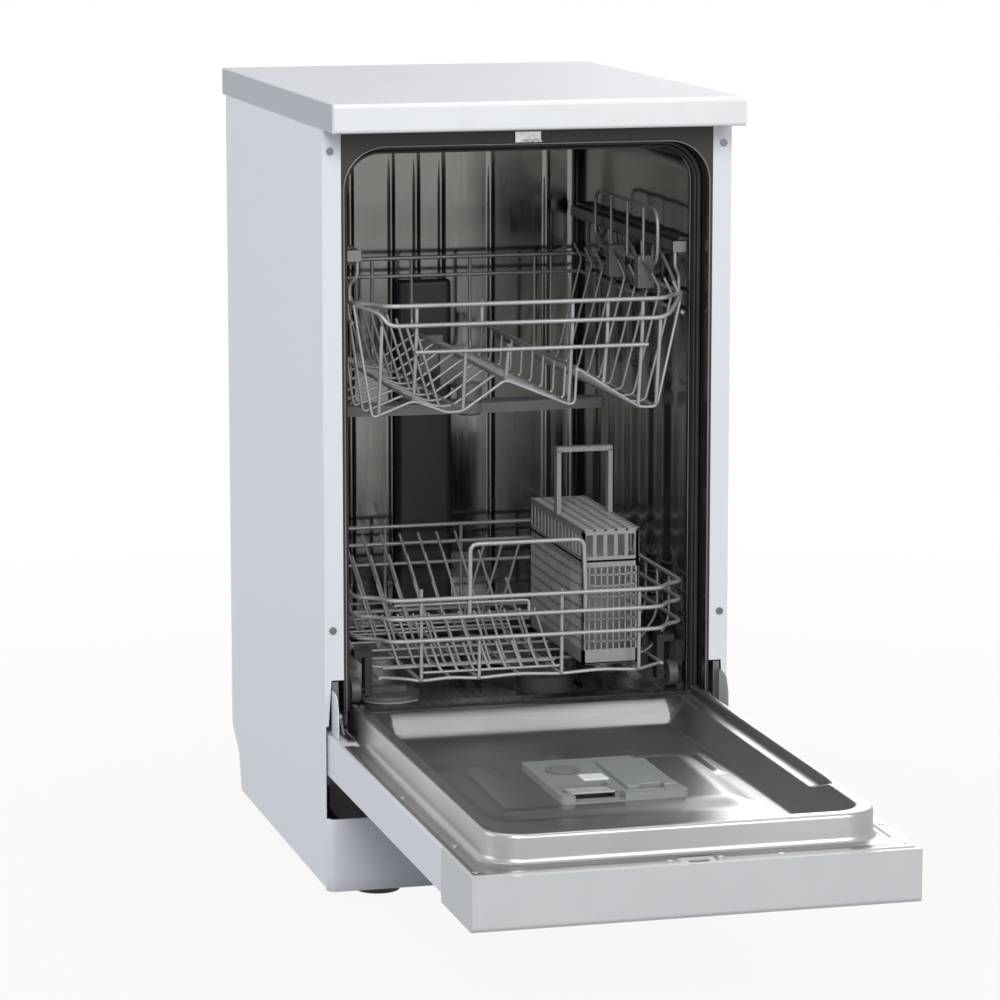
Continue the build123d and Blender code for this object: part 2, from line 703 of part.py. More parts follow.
def pan_solid(growth, bottom, top):
    """The hollow of the door's pan, or with growth the outside of its sheet."""
    sections = []
    for height in (bottom, top):
        widening = rise_of_pan * (height - pan_top)
        rear_run = ramp_depth * 22 / 18 * (height - pan_top) / (ledge_height - pan_top)
        front_run = (pan_end - pan_foot_end) * (height - pan_top) / (liner_top - pan_top)
        near = at(-pan_foot_end - front_run - growth)
        far = at(rear_run - ramp_depth + growth)
        with BuildSketch(Plane.XY.offset(height)) as section:
            with Locations((0, (near + far) / 2)):
                Rectangle(2 * (pan_foot_half + widening + growth), far - near)
            fillet(section.vertices().group_by(Axis.Y)[0], 30.0 + growth + widening / 2)
        sections.append(section.sketch)
    return loft(sections)


notch_x = (latch_x[0] - 8, latch_x[1] + 7)
with BuildPart() as liner_flange_plate:
    slab((-liner_flange_half, liner_flange_half), (at(-liner_flange_front), at(-liner_flange_rear)),
         (door_plane, door_plane + liner_flange))
    slab(notch_x, (at(-liner_flange_front - 1), at(latch_middle + 8)),
         (door_plane - 1, door_plane + liner_flange + 1), Mode.SUBTRACT)
    add(front_rounded(liner_half, liner_front, 10, door_plane - 1, liner_top, liner_corner),
        mode=Mode.SUBTRACT)

with BuildPart() as liner_bowl:
    add(front_rounded(liner_half, liner_front, 10, pan_top - liner_sheet, liner_top, liner_corner))
    add(front_rounded(liner_half - liner_sheet, liner_front - liner_sheet, 10 - liner_sheet,
                      pan_top - 2 * liner_sheet, liner_top - liner_sheet, liner_corner - liner_sheet),
        mode=Mode.SUBTRACT)
    add(pan_solid(liner_sheet, pan_top - liner_sheet, liner_top))
    slab((-liner_half, liner_half), (at(10), at(ramp_depth + 20)), (pan_top - 2, liner_top + 1),
         Mode.SUBTRACT)
    groove_half = liner_half - bead_width
    slab((-groove_half, groove_half), (at(-track_end - liner_sheet), at(-track_end)),
         (ledge_height - liner_sheet, liner_top))
    slab((-groove_half - liner_sheet, groove_half + liner_sheet),
         (at(-track_end - liner_sheet), at(10)), (ledge_height - liner_sheet, ledge_height))
    for side in (-1, 1):
        slab((side * groove_half, side * (groove_half + liner_sheet)),
             (at(-track_end - liner_sheet), at(10)), (ledge_height - liner_sheet, liner_top))
    slab((-groove_half, groove_half), (at(-track_end), at(11)), (ledge_height, liner_top + 1),
         Mode.SUBTRACT)
    add(pan_solid(0, pan_top, liner_top + 1), mode=Mode.SUBTRACT)


def between(piece, x, depths):
    """The solids of a piece that lie between two limits across and two depths."""
    with BuildPart() as share:
        add(piece)
        slab(x, (at(depths[0]), at(depths[1])), (door_face, liner_top + 5), Mode.INTERSECT)
    return list(share.part.solids())


# The pressed liner is stored as touching panels, so that its pan and its wheel tracks stay open
# where every solid has a convex outline
corner_start = 40.0 - pan_foot_end
liner_end = 10.0
liner_panels = []
flange_steps = (-liner_flange_half, -liner_half, liner_corner - liner_half, *notch_x,
                liner_half - liner_corner, liner_half, liner_flange_half)
for x in zip(flange_steps, flange_steps[1:]):
    liner_panels += between(liner_flange_plate.part, x, (-liner_flange_front, liner_end))
for side in (-1, 1):
    columns = [(side * low, side * high) for low, high in
               ((groove_half, liner_half), (track_inner, groove_half), (pan_foot_half, track_inner))]
    liner_panels += between(liner_bowl.part, columns[0], (-liner_front, liner_end))
    for depths in ((-liner_front, -track_end), (-track_end, liner_end)):
        liner_panels += between(liner_bowl.part, columns[1], depths)
    for depths in ((-liner_front, corner_start), (corner_start, -ramp_depth), (-ramp_depth, liner_end)):
        liner_panels += between(liner_bowl.part, columns[2], depths)
for depths in ((-liner_front, corner_start), (corner_start, -ramp_depth), (-ramp_depth, liner_end)):
    liner_panels += between(liner_bowl.part, (-pan_foot_half, pan_foot_half), depths)
keep(Compound(liner_panels), "door_liner")

flange_screws = ((-210, -294), (-207, -494), (215, -516), (215, -240), (213, -595), (-26, -602),
                 (25, -599), (84, -602), (-213, -595))
with BuildPart() as door_screws:
    for x, depth in flange_screws:
        rod((x, at(depth), door_plane + liner_flange),
            (x, at(depth), door_plane + liner_flange + door_screw_head), 3.2)
keep(door_screws.part, "door_screws")


def hinge_arm(side):
    """The door's hinge arm: a foot on the door's flange and a plate that carries the pivot pin."""
    inner, outer = side * arm_plate[0], side * arm_plate[1]
    with BuildPart() as arm:
        slab((side * (neck_half + tub_wall + 0.5), outer), (at(-40), at(tail_start)),
             (door_plane, door_plane + 2))
        with BuildSketch(Plane.YZ.offset(min(inner, outer))):
            with BuildLine():
                Polyline((at(-14), door_plane), (at(tail_start), door_plane), (at(tail_start), hinge_height),
                         (at(3), hinge_height), close=True)
            make_face()
            with Locations((hinge_y, hinge_height)):
                Circle(9)
        extrude(amount=abs(outer - inner))
        rod((inner, hinge_y, hinge_height), (side * (bracket_plate[1] + 1.5), hinge_y, hinge_height),
            pivot_radius)
    return arm.part


def hinge_bracket(side):
    """The cabinet's hinge plate, with its pivot hole, a turned-out front lip and a wall foot."""
    inner, outer = side * bracket_plate[0], side * bracket_plate[1]
    wall = side * (half_cabinet - sheet)
    with BuildPart() as bracket:
        slab((inner, outer), (at(bracket_front), at(bracket_back)), (bracket_bottom, bracket_top))
        slab((inner, outer + side * bracket_lip), (at(bracket_front - 2), at(bracket_front)),
             (bracket_bottom + 8, bracket_top))
        slab((inner, wall), (at(bracket_back - 3), at(bracket_back)), (bracket_bottom + 3, bracket_top))
        fillet(bracket.edges().filter_by(Axis.X).group_by(Axis.Z)[0].sort_by(Axis.Y)[0], 6)
        rod((inner - side, hinge_y, hinge_height), (outer + side, hinge_y, hinge_height),
            pivot_radius + running, Mode.SUBTRACT)
    return bracket.part


keep(hinge_arm(-1), "hinge_arm_left")
keep(hinge_arm(1), "hinge_arm_right")
keep(Compound([hinge_bracket(-1).solid(), hinge_bracket(1).solid()]), "hinge_brackets")

# Dispenser on the door's pan

dispenser_floor = door_plane - 5
dispenser_top = dispenser_floor + dispenser_height
lid_x = (6.0, 58.0)
lid_near = 353.0
lid_far = 226.0
lid_thickness = 4.5
cap_x = -36.0
cap_depth = -262.0
cap_radius = 17.0
latch_button_x = (20.0, 44.0)
lid_pin_radius = 1.2
lid_pin_y = at(-lid_far - 2.6)
lid_pin_height = dispenser_top - lid_thickness / 2

with BuildPart() as dispenser_body:
    with BuildSketch(Plane.XY.offset(dispenser_floor)):
        with BuildLine():
            Polyline((-dispenser_half, at(-dispenser_far)), (52, at(-dispenser_far)),
                     (dispenser_half, at(-dispenser_near)), (-dispenser_half, at(-dispenser_near)),
                     close=True)
        make_face()
        fillet(vertices(), 5)
    extrude(amount=dispenser_height)
    slab((lid_x[0] - 0.6, lid_x[1] + 0.6), (at(-lid_near - 0.6), at(-lid_far + 0.6)),
         (dispenser_top - lid_thickness - 0.3, dispenser_top + 1), Mode.SUBTRACT)
    slab((lid_x[0] + 5, lid_x[1] - 5), (at(-lid_near + 24), at(-lid_far - 8)),
         (dispenser_floor + 1.5, dispenser_top + 1), Mode.SUBTRACT)
    slab((lid_x[0] - 0.6, lid_x[1] + 0.6), (at(-lid_far - 7), at(-lid_far + 1.4)),
         (dispenser_top - lid_thickness - 1.6, dispenser_top + 1), Mode.SUBTRACT)
    rod((lid_x[0] - 3, lid_pin_y, lid_pin_height), (lid_x[1] + 3, lid_pin_y, lid_pin_height),
        lid_pin_radius + running, Mode.SUBTRACT)
    slab((-60, -6), (at(-lid_near), at(-lid_near + 40)), (dispenser_floor + 4, dispenser_top + 1),
         Mode.SUBTRACT)
    slab((-52, 0), (at(-dispenser_near - 1), at(-lid_near + 1)), (dispenser_floor + 8, dispenser_top + 1),
         Mode.SUBTRACT)
    rod((cap_x, at(cap_depth), dispenser_top - 7), (cap_x, at(cap_depth), dispenser_top + 1),
        cap_radius - 3, Mode.SUBTRACT)
    slab((latch_button_x[0] - 0.3, latch_button_x[1] + 0.3), (at(-lid_near - 9.3), at(-lid_near + 7.3)),
         (dispenser_floor + 5, dispenser_top + 1), Mode.SUBTRACT)
keep(dispenser_body.part, "dispenser_body")

with BuildPart() as dispenser_lid:
    slab(lid_x, (at(-lid_near), at(-lid_far)), (dispenser_top - lid_thickness, dispenser_top))
    slab((latch_button_x[0] - 0.3, latch_button_x[1] + 0.3), (at(-lid_near - 1), at(-lid_near + 7.3)),
         (dispenser_floor, dispenser_top + 1), Mode.SUBTRACT)
    slab((lid_x[0] + 6, lid_x[1] - 6), (at(-lid_near + 14), at(-lid_far - 6)),
         (dispenser_top - 1, dispenser_top + 1), Mode.SUBTRACT)
    rod((lid_x[0] - 2.6, lid_pin_y, lid_pin_height), (lid_x[1] + 2.6, lid_pin_y, lid_pin_height),
        lid_pin_radius)
keep(dispenser_lid.part, "dispenser_lid")

with BuildPart() as dispenser_latch:
    slab(latch_button_x, (at(-lid_near - 9), at(-lid_near + 3)), (dispenser_floor + 5.3, dispenser_top - 1))
    fillet(dispenser_latch.edges().filter_by(Axis.X).group_by(Axis.Z)[-1], 1.5)
keep(dispenser_latch.part, "dispenser_latch")

with BuildPart() as rinse_aid_cap:
    rod((cap_x, at(cap_depth), dispenser_top + 0.3), (cap_x, at(cap_depth), dispenser_top + 2.3),
        cap_radius)
    rod((cap_x, at(cap_depth), dispenser_top - 6.5), (cap_x, at(cap_depth), dispenser_top + 1),
        cap_radius - 3 - running)
    slab((cap_x - 12, cap_x + 12), (at(cap_depth - 2), at(cap_depth + 2)),
         (dispenser_top + 1, dispenser_top + 4.5))
keep(rinse_aid_cap.part, "rinse_aid_cap")

# Baskets: welded wires, each straight run a solid of its own


def rim(half, height, radius, front_depth=basket_front, bend=(20.0, 36.0)):
    """A basket rim: straight front, an S-bend back to each side, straight sides and back."""
    edge = front_half
    back = at(basket_back)
    near = at(front_depth)
    shoulder = near + bend[1]
    right = [(edge, near), (edge + bend[0] * 0.35, near + bend[1] * 0.3),
             (edge + bend[0] * 0.6, near + bend[1] * 0.75), (edge + bend[0], shoulder),
             (half - 8, shoulder + 3), (half, shoulder + 14), (half, back - 16), (half - 16, back)]
    ring = [(x, y, height) for x, y in right]
    ring += [(-x, y, height) for x, y in reversed(right)]
    ring.append(ring[0])
    return wire_chain(ring, radius)


def cross_wire(profile, depth, radius):
    """A wire that runs across a basket through the given points at one depth."""
    return wire_chain([(x, at(depth), z) for x, z in profile], radius)


upper_wires = []
for height in upper_rims:
    upper_wires += rim(upper_half, height, rim_wire)
bar_share = (upper_rims[1] - upper_front_bar) / (upper_rims[1] - upper_floor)
bar_depth = basket_front + (upper_leg - basket_front) * bar_share + 2 * rim_wire - 0.8
front_bar = [(-124, at(bar_depth), upper_front_bar), (130, at(bar_depth), upper_front_bar)]
upper_wires += wire_chain(front_bar, rim_wire)
ridge = 34.0
second_ridge = 44.0
left_foot = -165.0
left_valley = -67.0
ridge_x = -20.0
middle_valley = 51.0
second_ridge_x = 58.0
right_valley = 130.0
right_foot = 149.0
upper_profile = ((-upper_half, upper_rims[1]), (left_foot, upper_floor), (left_valley, upper_floor),
                 (ridge_x, upper_floor + ridge), (middle_valley, upper_floor + 4),
                 (second_ridge_x, upper_floor + second_ridge), (right_valley, upper_floor),
                 (right_foot, upper_floor), (upper_half - rim_wire, upper_rims[0]),
                 (upper_half - 11, upper_rims[0] + 16))
upper_crossings = 9
for number in range(upper_crossings):
    depth = 66 + number * (basket_back - 90) / (upper_crossings - 1)
    upper_wires += cross_wire(upper_profile, depth, mesh_wire)
    upper_wires.append(wire((-80, at(depth), upper_floor), (-108, at(depth), upper_floor + 84), mesh_wire))
for x, height in ((left_foot + 14, upper_floor), (-120, upper_floor), (left_valley, upper_floor),
                  (ridge_x, upper_floor + ridge), (middle_valley, upper_floor + 4),
                  (right_valley, upper_floor)):
    upper_wires += wire_chain([(x, at(basket_front), upper_rims[0]), (x, at(basket_front), upper_rims[1]),
                               (x, at(upper_leg), height), (x, at(basket_back - 4), height),
                               (x, at(basket_back), upper_rims[1])], rim_wire - 0.4)
hanger_x = tub_half - 14.4
slide_bottom = rail_height - slide_half
for side in (-1, 1):
    for depth in (70, 180, 300, 420):
        upper_wires.append(wire((side * upper_half, at(depth), upper_rims[1]),
                                (side * hanger_x, at(depth), slide_bottom - 0.6), mesh_wire))
    for depth in (84, 194, 314):
        upper_wires.append(wire((side * upper_half, at(depth), upper_rims[0]),
                                (side * hanger_x, at(depth + 44), slide_bottom - 3), mesh_wire))
keep(Compound(upper_wires), "upper_basket")

upper_arm_top = upper_arm_bottom + arm_height
with BuildPart() as upper_feed_pipe:
    rod((hub_x, hub_y, feed_height), (hub_x, at(basket_back + 4.7), feed_height), feed_radius)
    rod((hub_x, hub_y, upper_arm_top + 0.3), (hub_x, hub_y, feed_height + feed_radius), 14.0)
    rod((hub_x, hub_y, upper_arm_bottom - nut_height), (hub_x, hub_y, feed_height), stub_radius)
    rod((hub_x, hub_y, upper_arm_bottom - nut_height), (hub_x, hub_y, upper_arm_bottom - 0.3), 12.0)
    for depth in (300, 400):
        slab((ridge_x - 2, hub_x + 6), (at(depth), at(depth + 8)),
             (feed_height, upper_floor + ridge - rim_wire))
keep(upper_feed_pipe.part, "upper_feed_pipe")

shelf_x = tub_half - 22.0
shelf_hinge = 664.0
shelf_reach = 62.0
shelf_depths = (82.0, 330.0)
shelf_wires = wire_chain([(shelf_x, at(shelf_depths[0]), shelf_hinge),
                          (shelf_x, at(shelf_depths[0]), shelf_hinge + shelf_reach),
                          (shelf_x, at(shelf_depths[1]), shelf_hinge + shelf_reach),
                          (shelf_x, at(shelf_depths[1]), shelf_hinge)], 2.0)
shelf_wires.append(wire((shelf_x, at(shelf_depths[0]), shelf_hinge), (shelf_x, at(shelf_depths[1]), shelf_hinge),
                        2.0))
for number in range(1, 5):
    depth = shelf_depths[0] + number * (shelf_depths[1] - shelf_depths[0]) / 5
    shelf_wires.append(wire((shelf_x, at(depth), shelf_hinge), (shelf_x, at(depth), shelf_hinge + shelf_reach),
                            mesh_wire))
keep(Compound(shelf_wires), "cup_shelf")

clip_depths = (138.0, 250.0)
with BuildPart() as shelf_clips:
    for depth in clip_depths:
        slab((shelf_x - 6, upper_half - rim_wire), (at(depth), at(depth + 14)),
             (upper_rims[0] - 4, shelf_hinge + 6))
        rod((shelf_x, at(depth - 1), shelf_hinge), (shelf_x, at(depth + 15), shelf_hinge), 2.0 + running,
            Mode.SUBTRACT)
keep(shelf_clips.part, "shelf_clips")

lower_wires = []
for height in lower_rims:
    lower_wires += rim(lower_half, height, rim_wire if height == lower_rims[0] else mesh_wire + 0.4,
                       bend=(21.0, 38.0))
side_foot = 158.0
lower_profile = ((-lower_half, lower_rims[0]), (-lower_half, 262), (-side_foot, lower_floor),
                 (side_foot, lower_floor), (lower_half, 262), (lower_half, lower_rims[0]))
lower_crossings = 9
for number in range(lower_crossings):
    depth = 82 + number * 44
    lower_wires += cross_wire(lower_profile, depth, mesh_wire)
for x, height in ((-115, lower_rims[0]), (-53, lower_rims[2]), (38.6, lower_rims[0]), (125.5, lower_rims[0])):
    lower_wires += wire_chain([(x, at(basket_front), height), (x, at(basket_front + 5), lower_floor),
                               (x, at(basket_back), lower_floor), (x, at(basket_back), lower_rims[0])],
                              rim_wire - 0.4)
for side in (-1, 1):
    lower_wires.append(wire((side * side_foot, at(24), lower_floor), (side * side_foot, at(436), lower_floor),
                            rim_wire - 0.4))
handle_top = 384.0
handle_x = 63.5
lower_wires += wire_chain([(-handle_x, at(basket_front), lower_rims[1]),
                           (-handle_x, at(basket_front), handle_top - 8),
                           (8 - handle_x, at(basket_front), handle_top),
                           (handle_x - 8, at(basket_front), handle_top),
                           (handle_x, at(basket_front), handle_top - 8),
                           (handle_x, at(basket_front), lower_rims[1])], rim_wire)
tine_rows = ((60.0, 17.0, 62.0), (155.0, 21.0, 72.0), (262.0, 21.0, 82.0), (368.0, 22.0, 92.0))
for depth, pitch, height in tine_rows:
    lower_wires.append(wire((-156, at(depth), lower_floor + 4), (46, at(depth), lower_floor + 4), mesh_wire))
    count = int(190 / pitch)
    for number in range(count):
        x = 38 - number * pitch
        lower_wires.append(wire((x, at(depth), lower_floor), (x - height / 4.6, at(depth), lower_floor + height),
                                mesh_wire))
keep(Compound(lower_wires), "lower_basket")

wheel_centre = ledge_height + wheel_radius + 0.3
plate_x = (side_foot + rim_wire - 0.1, side_foot + rim_wire + 8)
with BuildPart() as wheel_brackets:
    for side in (-1, 1):
        for depth in wheel_depths:
            slab((side * plate_x[0], side * plate_x[1]), (at(depth - 8), at(depth + 8)),
                 (wheel_centre - 5, lower_floor + 26))
            rod((side * plate_x[1], at(depth), wheel_centre),
                (side * (wheel_x + wheel_width / 2 + 0.6), at(depth), wheel_centre), axle_radius)
            slab((side * plate_x[1], side * (lower_half - 3)), (at(depth - 8), at(depth + 8)),
                 (lower_floor + 18, lower_floor + 26))
keep(wheel_brackets.part, "wheel_brackets")

for side, hand in ((-1, "left"), (1, "right")):
    for depth, place in zip(wheel_depths, ("front", "rear")):
        centre = (side * wheel_x, at(depth), wheel_centre)
        with BuildPart() as wheel:
            rod((centre[0] - wheel_width / 2, centre[1], centre[2]),
                (centre[0] + wheel_width / 2, centre[1], centre[2]), wheel_radius)
            fillet(wheel.edges().filter_by(GeomType.CIRCLE), 1.5)
            rod((centre[0] - wheel_width, centre[1], centre[2]),
                (centre[0] + wheel_width, centre[1], centre[2]), axle_radius + running, Mode.SUBTRACT)
        keep(wheel.part, f"wheel_{place}_{hand}")

# Cutlery basket, standing on the lower basket's floor wires

cutlery_x = (67.0, 131.0)
cutlery_depths = (25.0, 238.0)
cutlery_bottom = lower_floor + 2.6
cutlery_top = 388.0
cutlery_wall = 2.0
cell_walls = 5
cutlery_middle = (cutlery_x[0] + cutlery_x[1]) / 2
grip_top = 462.0
cell_run = (cutlery_depths[1] - cutlery_depths[0] - cutlery_wall) / cell_walls
lid_bar = 3.0
cutlery_near, cutlery_far = at(cutlery_depths[0]), at(cutlery_depths[1])
body_span = (cutlery_bottom + cutlery_wall, cutlery_top - lid_bar)
lid_span = (cutlery_top - lid_bar, cutlery_top)
cutlery_plates = [block(cutlery_x, (cutlery_near, cutlery_far),
                        (cutlery_bottom, cutlery_bottom + cutlery_wall))]
for x in (cutlery_x[0], cutlery_x[1] - cutlery_wall):
    cutlery_plates.append(block((x, x + cutlery_wall), (cutlery_near, cutlery_far), body_span))
inner_x = (cutlery_x[0] + cutlery_wall, cutlery_x[1] - cutlery_wall)
for number in range(cell_walls + 1):
    near = cutlery_near + number * cell_run
    cutlery_plates.append(block(inner_x, (near, near + cutlery_wall), body_span))
lid_columns = 3
lid_pitch = (cutlery_x[1] - cutlery_x[0] - lid_bar) / lid_columns
for number in range(lid_columns + 1):
    x = cutlery_x[0] + number * lid_pitch
    cutlery_plates.append(block((x, x + lid_bar), (cutlery_near, cutlery_far), lid_span))
lid_rows = 2 * cell_walls
row_pitch = (cutlery_far - cutlery_near - lid_bar) / lid_rows
for column in range(lid_columns):
    x = cutlery_x[0] + column * lid_pitch + lid_bar
    for number in range(lid_rows + 1):
        near = cutlery_near + number * row_pitch
        cutlery_plates.append(block((x, x + lid_pitch - lid_bar), (near, near + lid_bar), lid_span))
grip_depths = (at(127), at(139))
for side in (-1, 1):
    foot = cutlery_middle + side * 29.5
    cutlery_plates.append(block((foot - 2.5, foot + 2.5), grip_depths, (cutlery_top, grip_top - 5)))
cutlery_plates.append(block((cutlery_middle - 32, cutlery_middle + 32), grip_depths,
                            (grip_top - 5, grip_top)))
keep(Compound(cutlery_plates), "cutlery_basket")
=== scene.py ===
# %% [markdown]
# # A slim dishwasher with its door down
# This lesson dresses a measured model of a 45 cm dishwasher. The sheet metal, the pumps and
# the hinges come ready as solids, so the work here is what a camera sees of them: enamel,
# stainless steel, coated wire and moulded plastic. The machine's sizes are in millimetres and are
# turned into metres at the last moment, because that is how a drawing of such a machine reads.
# Only the floor and the lamps are placed in metres.

import bmesh
import bpy
import math
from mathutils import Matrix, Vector


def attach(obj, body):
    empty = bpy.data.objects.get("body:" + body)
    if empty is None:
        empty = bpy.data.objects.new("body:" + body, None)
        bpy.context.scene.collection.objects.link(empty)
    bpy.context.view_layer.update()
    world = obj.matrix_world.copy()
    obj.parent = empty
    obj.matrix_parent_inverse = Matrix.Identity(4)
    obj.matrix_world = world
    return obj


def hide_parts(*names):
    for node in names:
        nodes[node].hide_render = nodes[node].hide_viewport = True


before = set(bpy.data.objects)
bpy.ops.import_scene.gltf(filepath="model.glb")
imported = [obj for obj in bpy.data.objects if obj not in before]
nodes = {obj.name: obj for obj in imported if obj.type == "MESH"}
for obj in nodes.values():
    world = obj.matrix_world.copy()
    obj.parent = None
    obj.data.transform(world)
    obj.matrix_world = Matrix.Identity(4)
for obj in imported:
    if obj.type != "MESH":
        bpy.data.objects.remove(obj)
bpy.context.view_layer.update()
print("nodes in the frame:", len(nodes))

# %% [markdown]
# ## Where things are
# The front edge of the cabinet lies 35 mm behind the middle of the whole outline, since the
# open door reaches so far forward. Depths are easier to think of from that front edge, so one
# helper turns a depth into Y, and another turns a point in millimetres into metres.

# %% Places and small helpers
CABINET_FRONT = 35.0


def at(depth):
    """Y in millimetres of a point this far behind the cabinet's front edge."""
    return CABINET_FRONT + depth


def metres(point):
    """A point in millimetres as a vector in metres."""
    return Vector(point) * 0.001


def show(name, mesh, body, material, stands_for=()):
    """Link a mesh as a piece of the machine, with its body and its finish."""
    piece = bpy.data.objects.new(name, mesh)
    bpy.context.scene.collection.objects.link(piece)
    piece.data.materials.append(material)
    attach(piece, body)
    if stands_for:
        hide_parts(*stands_for)


print("front edge of the cabinet at Y", CABINET_FRONT, "mm")

# %% [markdown]
# ## The camera
# The photograph was taken from the left of the machine and a little above its worktop, with a
# long lens. The upright edges stay nearly upright in it, as they do when the camera stands far
# away, so a plain camera with a long lens and a small downward tilt is enough. Its three turns
# are in radians.

# %% Set the camera where the photographer stood
camera_data = bpy.data.cameras.new("studio_camera")
camera = bpy.data.objects.new("studio_camera", camera_data)
bpy.context.scene.collection.objects.link(camera)
bpy.context.scene.camera = camera
camera_yaw = -0.2595
camera_pitch = -0.1695
camera_roll = -0.0003
camera.location = metres((-1157.9, -4206.0, 1179.9))
camera.rotation_mode = "XYZ"
camera.rotation_euler = (math.radians(90) + camera_pitch, camera_roll, camera_yaw)
camera_data.sensor_width = 36.0
camera_data.lens = 150.2
camera_data.clip_end = 150.0
print("camera at", tuple(round(v, 3) for v in camera.location))

# %% [markdown]
# ## Floor and light
# A white product shot has a floor that melts into the background. Here floor and world are white
# only where the camera sees them, straight or in a reflection. Near the machine the floor keeps
# a small part of its shading, so that the feet still have a shadow, and further out it keeps none.
# The light is a dim even world, a large soft lamp at the left front and weaker ones around.


# %% Helpers for floor, world and lamps
def plain_tree(owner):
    """Give a material, a world or a light an empty node tree."""
    owner.use_nodes = True
    owner.node_tree.nodes.clear()
    return owner.node_tree


def seen_rays(tree):
    """1 for rays that the camera sees straight, in a reflection or through glass, otherwise 0."""
    rays = tree.nodes.new("ShaderNodeLightPath")
    value = rays.outputs["Is Camera Ray"]
    for kind in ("Is Glossy Ray", "Is Transmission Ray"):
        either = tree.nodes.new("ShaderNodeMath")
        either.operation = "MAXIMUM"
        tree.links.new(value, either.inputs[0])
        tree.links.new(rays.outputs[kind], either.inputs[1])
        value = either.outputs[0]
    return value


def lamp(name, place, target, size, power, colour=(1, 1, 1)):
    """A rectangular area lamp that looks at a point; places and sizes in metres."""
    data = bpy.data.lights.new(name, "AREA")
    data.shape = "RECTANGLE"
    data.size, data.size_y = size
    data.energy = power
    data.color = colour
    light = bpy.data.objects.new(name, data)
    bpy.context.scene.collection.objects.link(light)
    light.location = place
    look = Vector(target) - Vector(place)
    light.rotation_euler = look.to_track_quat("-Z", "Y").to_euler()


print("helpers for the studio are ready")

# %% Floor
# The floor's share of glow near and far, and the distances in metres where it starts to rise and
# where it is full.
NEAR_GLOW, FAR_GLOW = 0.92, 1.0
GLOW_STARTS, GLOW_IS_FULL = 0.7, 2.2
FLOOR_REACH = 60.0

floor_material = bpy.data.materials.new("studio_floor")
tree = plain_tree(floor_material)
shade = tree.nodes.new("ShaderNodeBsdfDiffuse")
shade.inputs["Color"].default_value = (0.42, 0.42, 0.42, 1)
glow = tree.nodes.new("ShaderNodeEmission")
glow.inputs["Color"].default_value = (1, 1, 1, 1)
blend = tree.nodes.new("ShaderNodeMixShader")
out = tree.nodes.new("ShaderNodeOutputMaterial")
distance = tree.nodes.new("ShaderNodeVectorMath")
distance.operation = "LENGTH"
place = tree.nodes.new("ShaderNodeTexCoord")
tree.links.new(place.outputs["Object"], distance.inputs[0])
fade = tree.nodes.new("ShaderNodeMapRange")
fade.inputs["From Min"].default_value = GLOW_STARTS
fade.inputs["From Max"].default_value = GLOW_IS_FULL
fade.inputs["To Min"].default_value = NEAR_GLOW
fade.inputs["To Max"].default_value = FAR_GLOW
tree.links.new(distance.outputs["Value"], fade.inputs["Value"])
share = tree.nodes.new("ShaderNodeMath")
share.operation = "MULTIPLY"
tree.links.new(seen_rays(tree), share.inputs[0])
tree.links.new(fade.outputs["Result"], share.inputs[1])
tree.links.new(share.outputs[0], blend.inputs["Fac"])
tree.links.new(shade.outputs[0], blend.inputs[1])
tree.links.new(glow.outputs[0], blend.inputs[2])
tree.links.new(blend.outputs[0], out.inputs["Surface"])

floor_mesh = bpy.data.meshes.new("studio_floor")
floor_corners = [(x * FLOOR_REACH, y * FLOOR_REACH, 0)
                 for x, y in ((-1, -1), (1, -1), (1, 1), (-1, 1))]
floor_mesh.from_pydata(floor_corners, [], [(0, 1, 2, 3)])
floor = bpy.data.objects.new("studio_floor", floor_mesh)
bpy.context.scene.collection.objects.link(floor)
floor_mesh.materials.append(floor_material)
print("floor reaches", FLOOR_REACH, "m each way")

# %% World
world = bpy.data.worlds.new("studio_world")
bpy.context.scene.world = world
tree = plain_tree(world)
sky = tree.nodes.new("ShaderNodeBackground")
sky.inputs["Color"].default_value = (0.93, 0.96, 1.0, 1)
sky.inputs["Strength"].default_value = 0.42
white = tree.nodes.new("ShaderNodeBackground")
white.inputs["Color"].default_value = (1, 1, 1, 1)
white.inputs["Strength"].default_value = 1.0
blend = tree.nodes.new("ShaderNodeMixShader")
out = tree.nodes.new("ShaderNodeOutputWorld")
tree.links.new(seen_rays(tree), blend.inputs["Fac"])
tree.links.new(sky.outputs[0], blend.inputs[1])
tree.links.new(white.outputs[0], blend.inputs[2])
tree.links.new(blend.outputs[0], out.inputs["Surface"])
print("world strength:", sky.inputs["Strength"].default_value)

# %% Lamps
lamp("key_lamp", (-1.1, -3.7, 2.7), (0, 0, 0.45), (1.6, 1.6), 86)
lamp("front_lamp", (1.3, -3.6, 2.0), (0, 0, 0.4), (1.2, 1.8), 36)
lamp("top_lamp", (0.0, 0.4, 2.9), (0, 0, 0.5), (2.2, 1.6), 20)
lamp("left_lamp", (-3.4, 0.6, 1.4), (0, 0, 0.5), (1.8, 1.8), 22, (0.8, 0.9, 1.0))
lamp("rear_lamp", (1.8, 3.2, 1.8), (0, 0, 0.5), (1.8, 1.8), 30)
bpy.context.scene.view_settings.view_transform = "Standard"

# %% [markdown]
# ## Finishes
# None of these finishes is one flat colour. Enamel has a faint orange peel, moulded plastic a
# fine pebble, rolled steel long streaks, and coated wire is a soft sheen with small lumps. All
# of that is worked out from the place on the piece in metres, so no picture file is needed and
# the scale of the grain stays true.


# %% A few helpers that build node trees
def begin(name):
    """A new material, its tree and its main shader."""
    material = bpy.data.materials.new(name)
    material.use_nodes = True
    return material, material.node_tree, material.node_tree.nodes["Principled BSDF"]


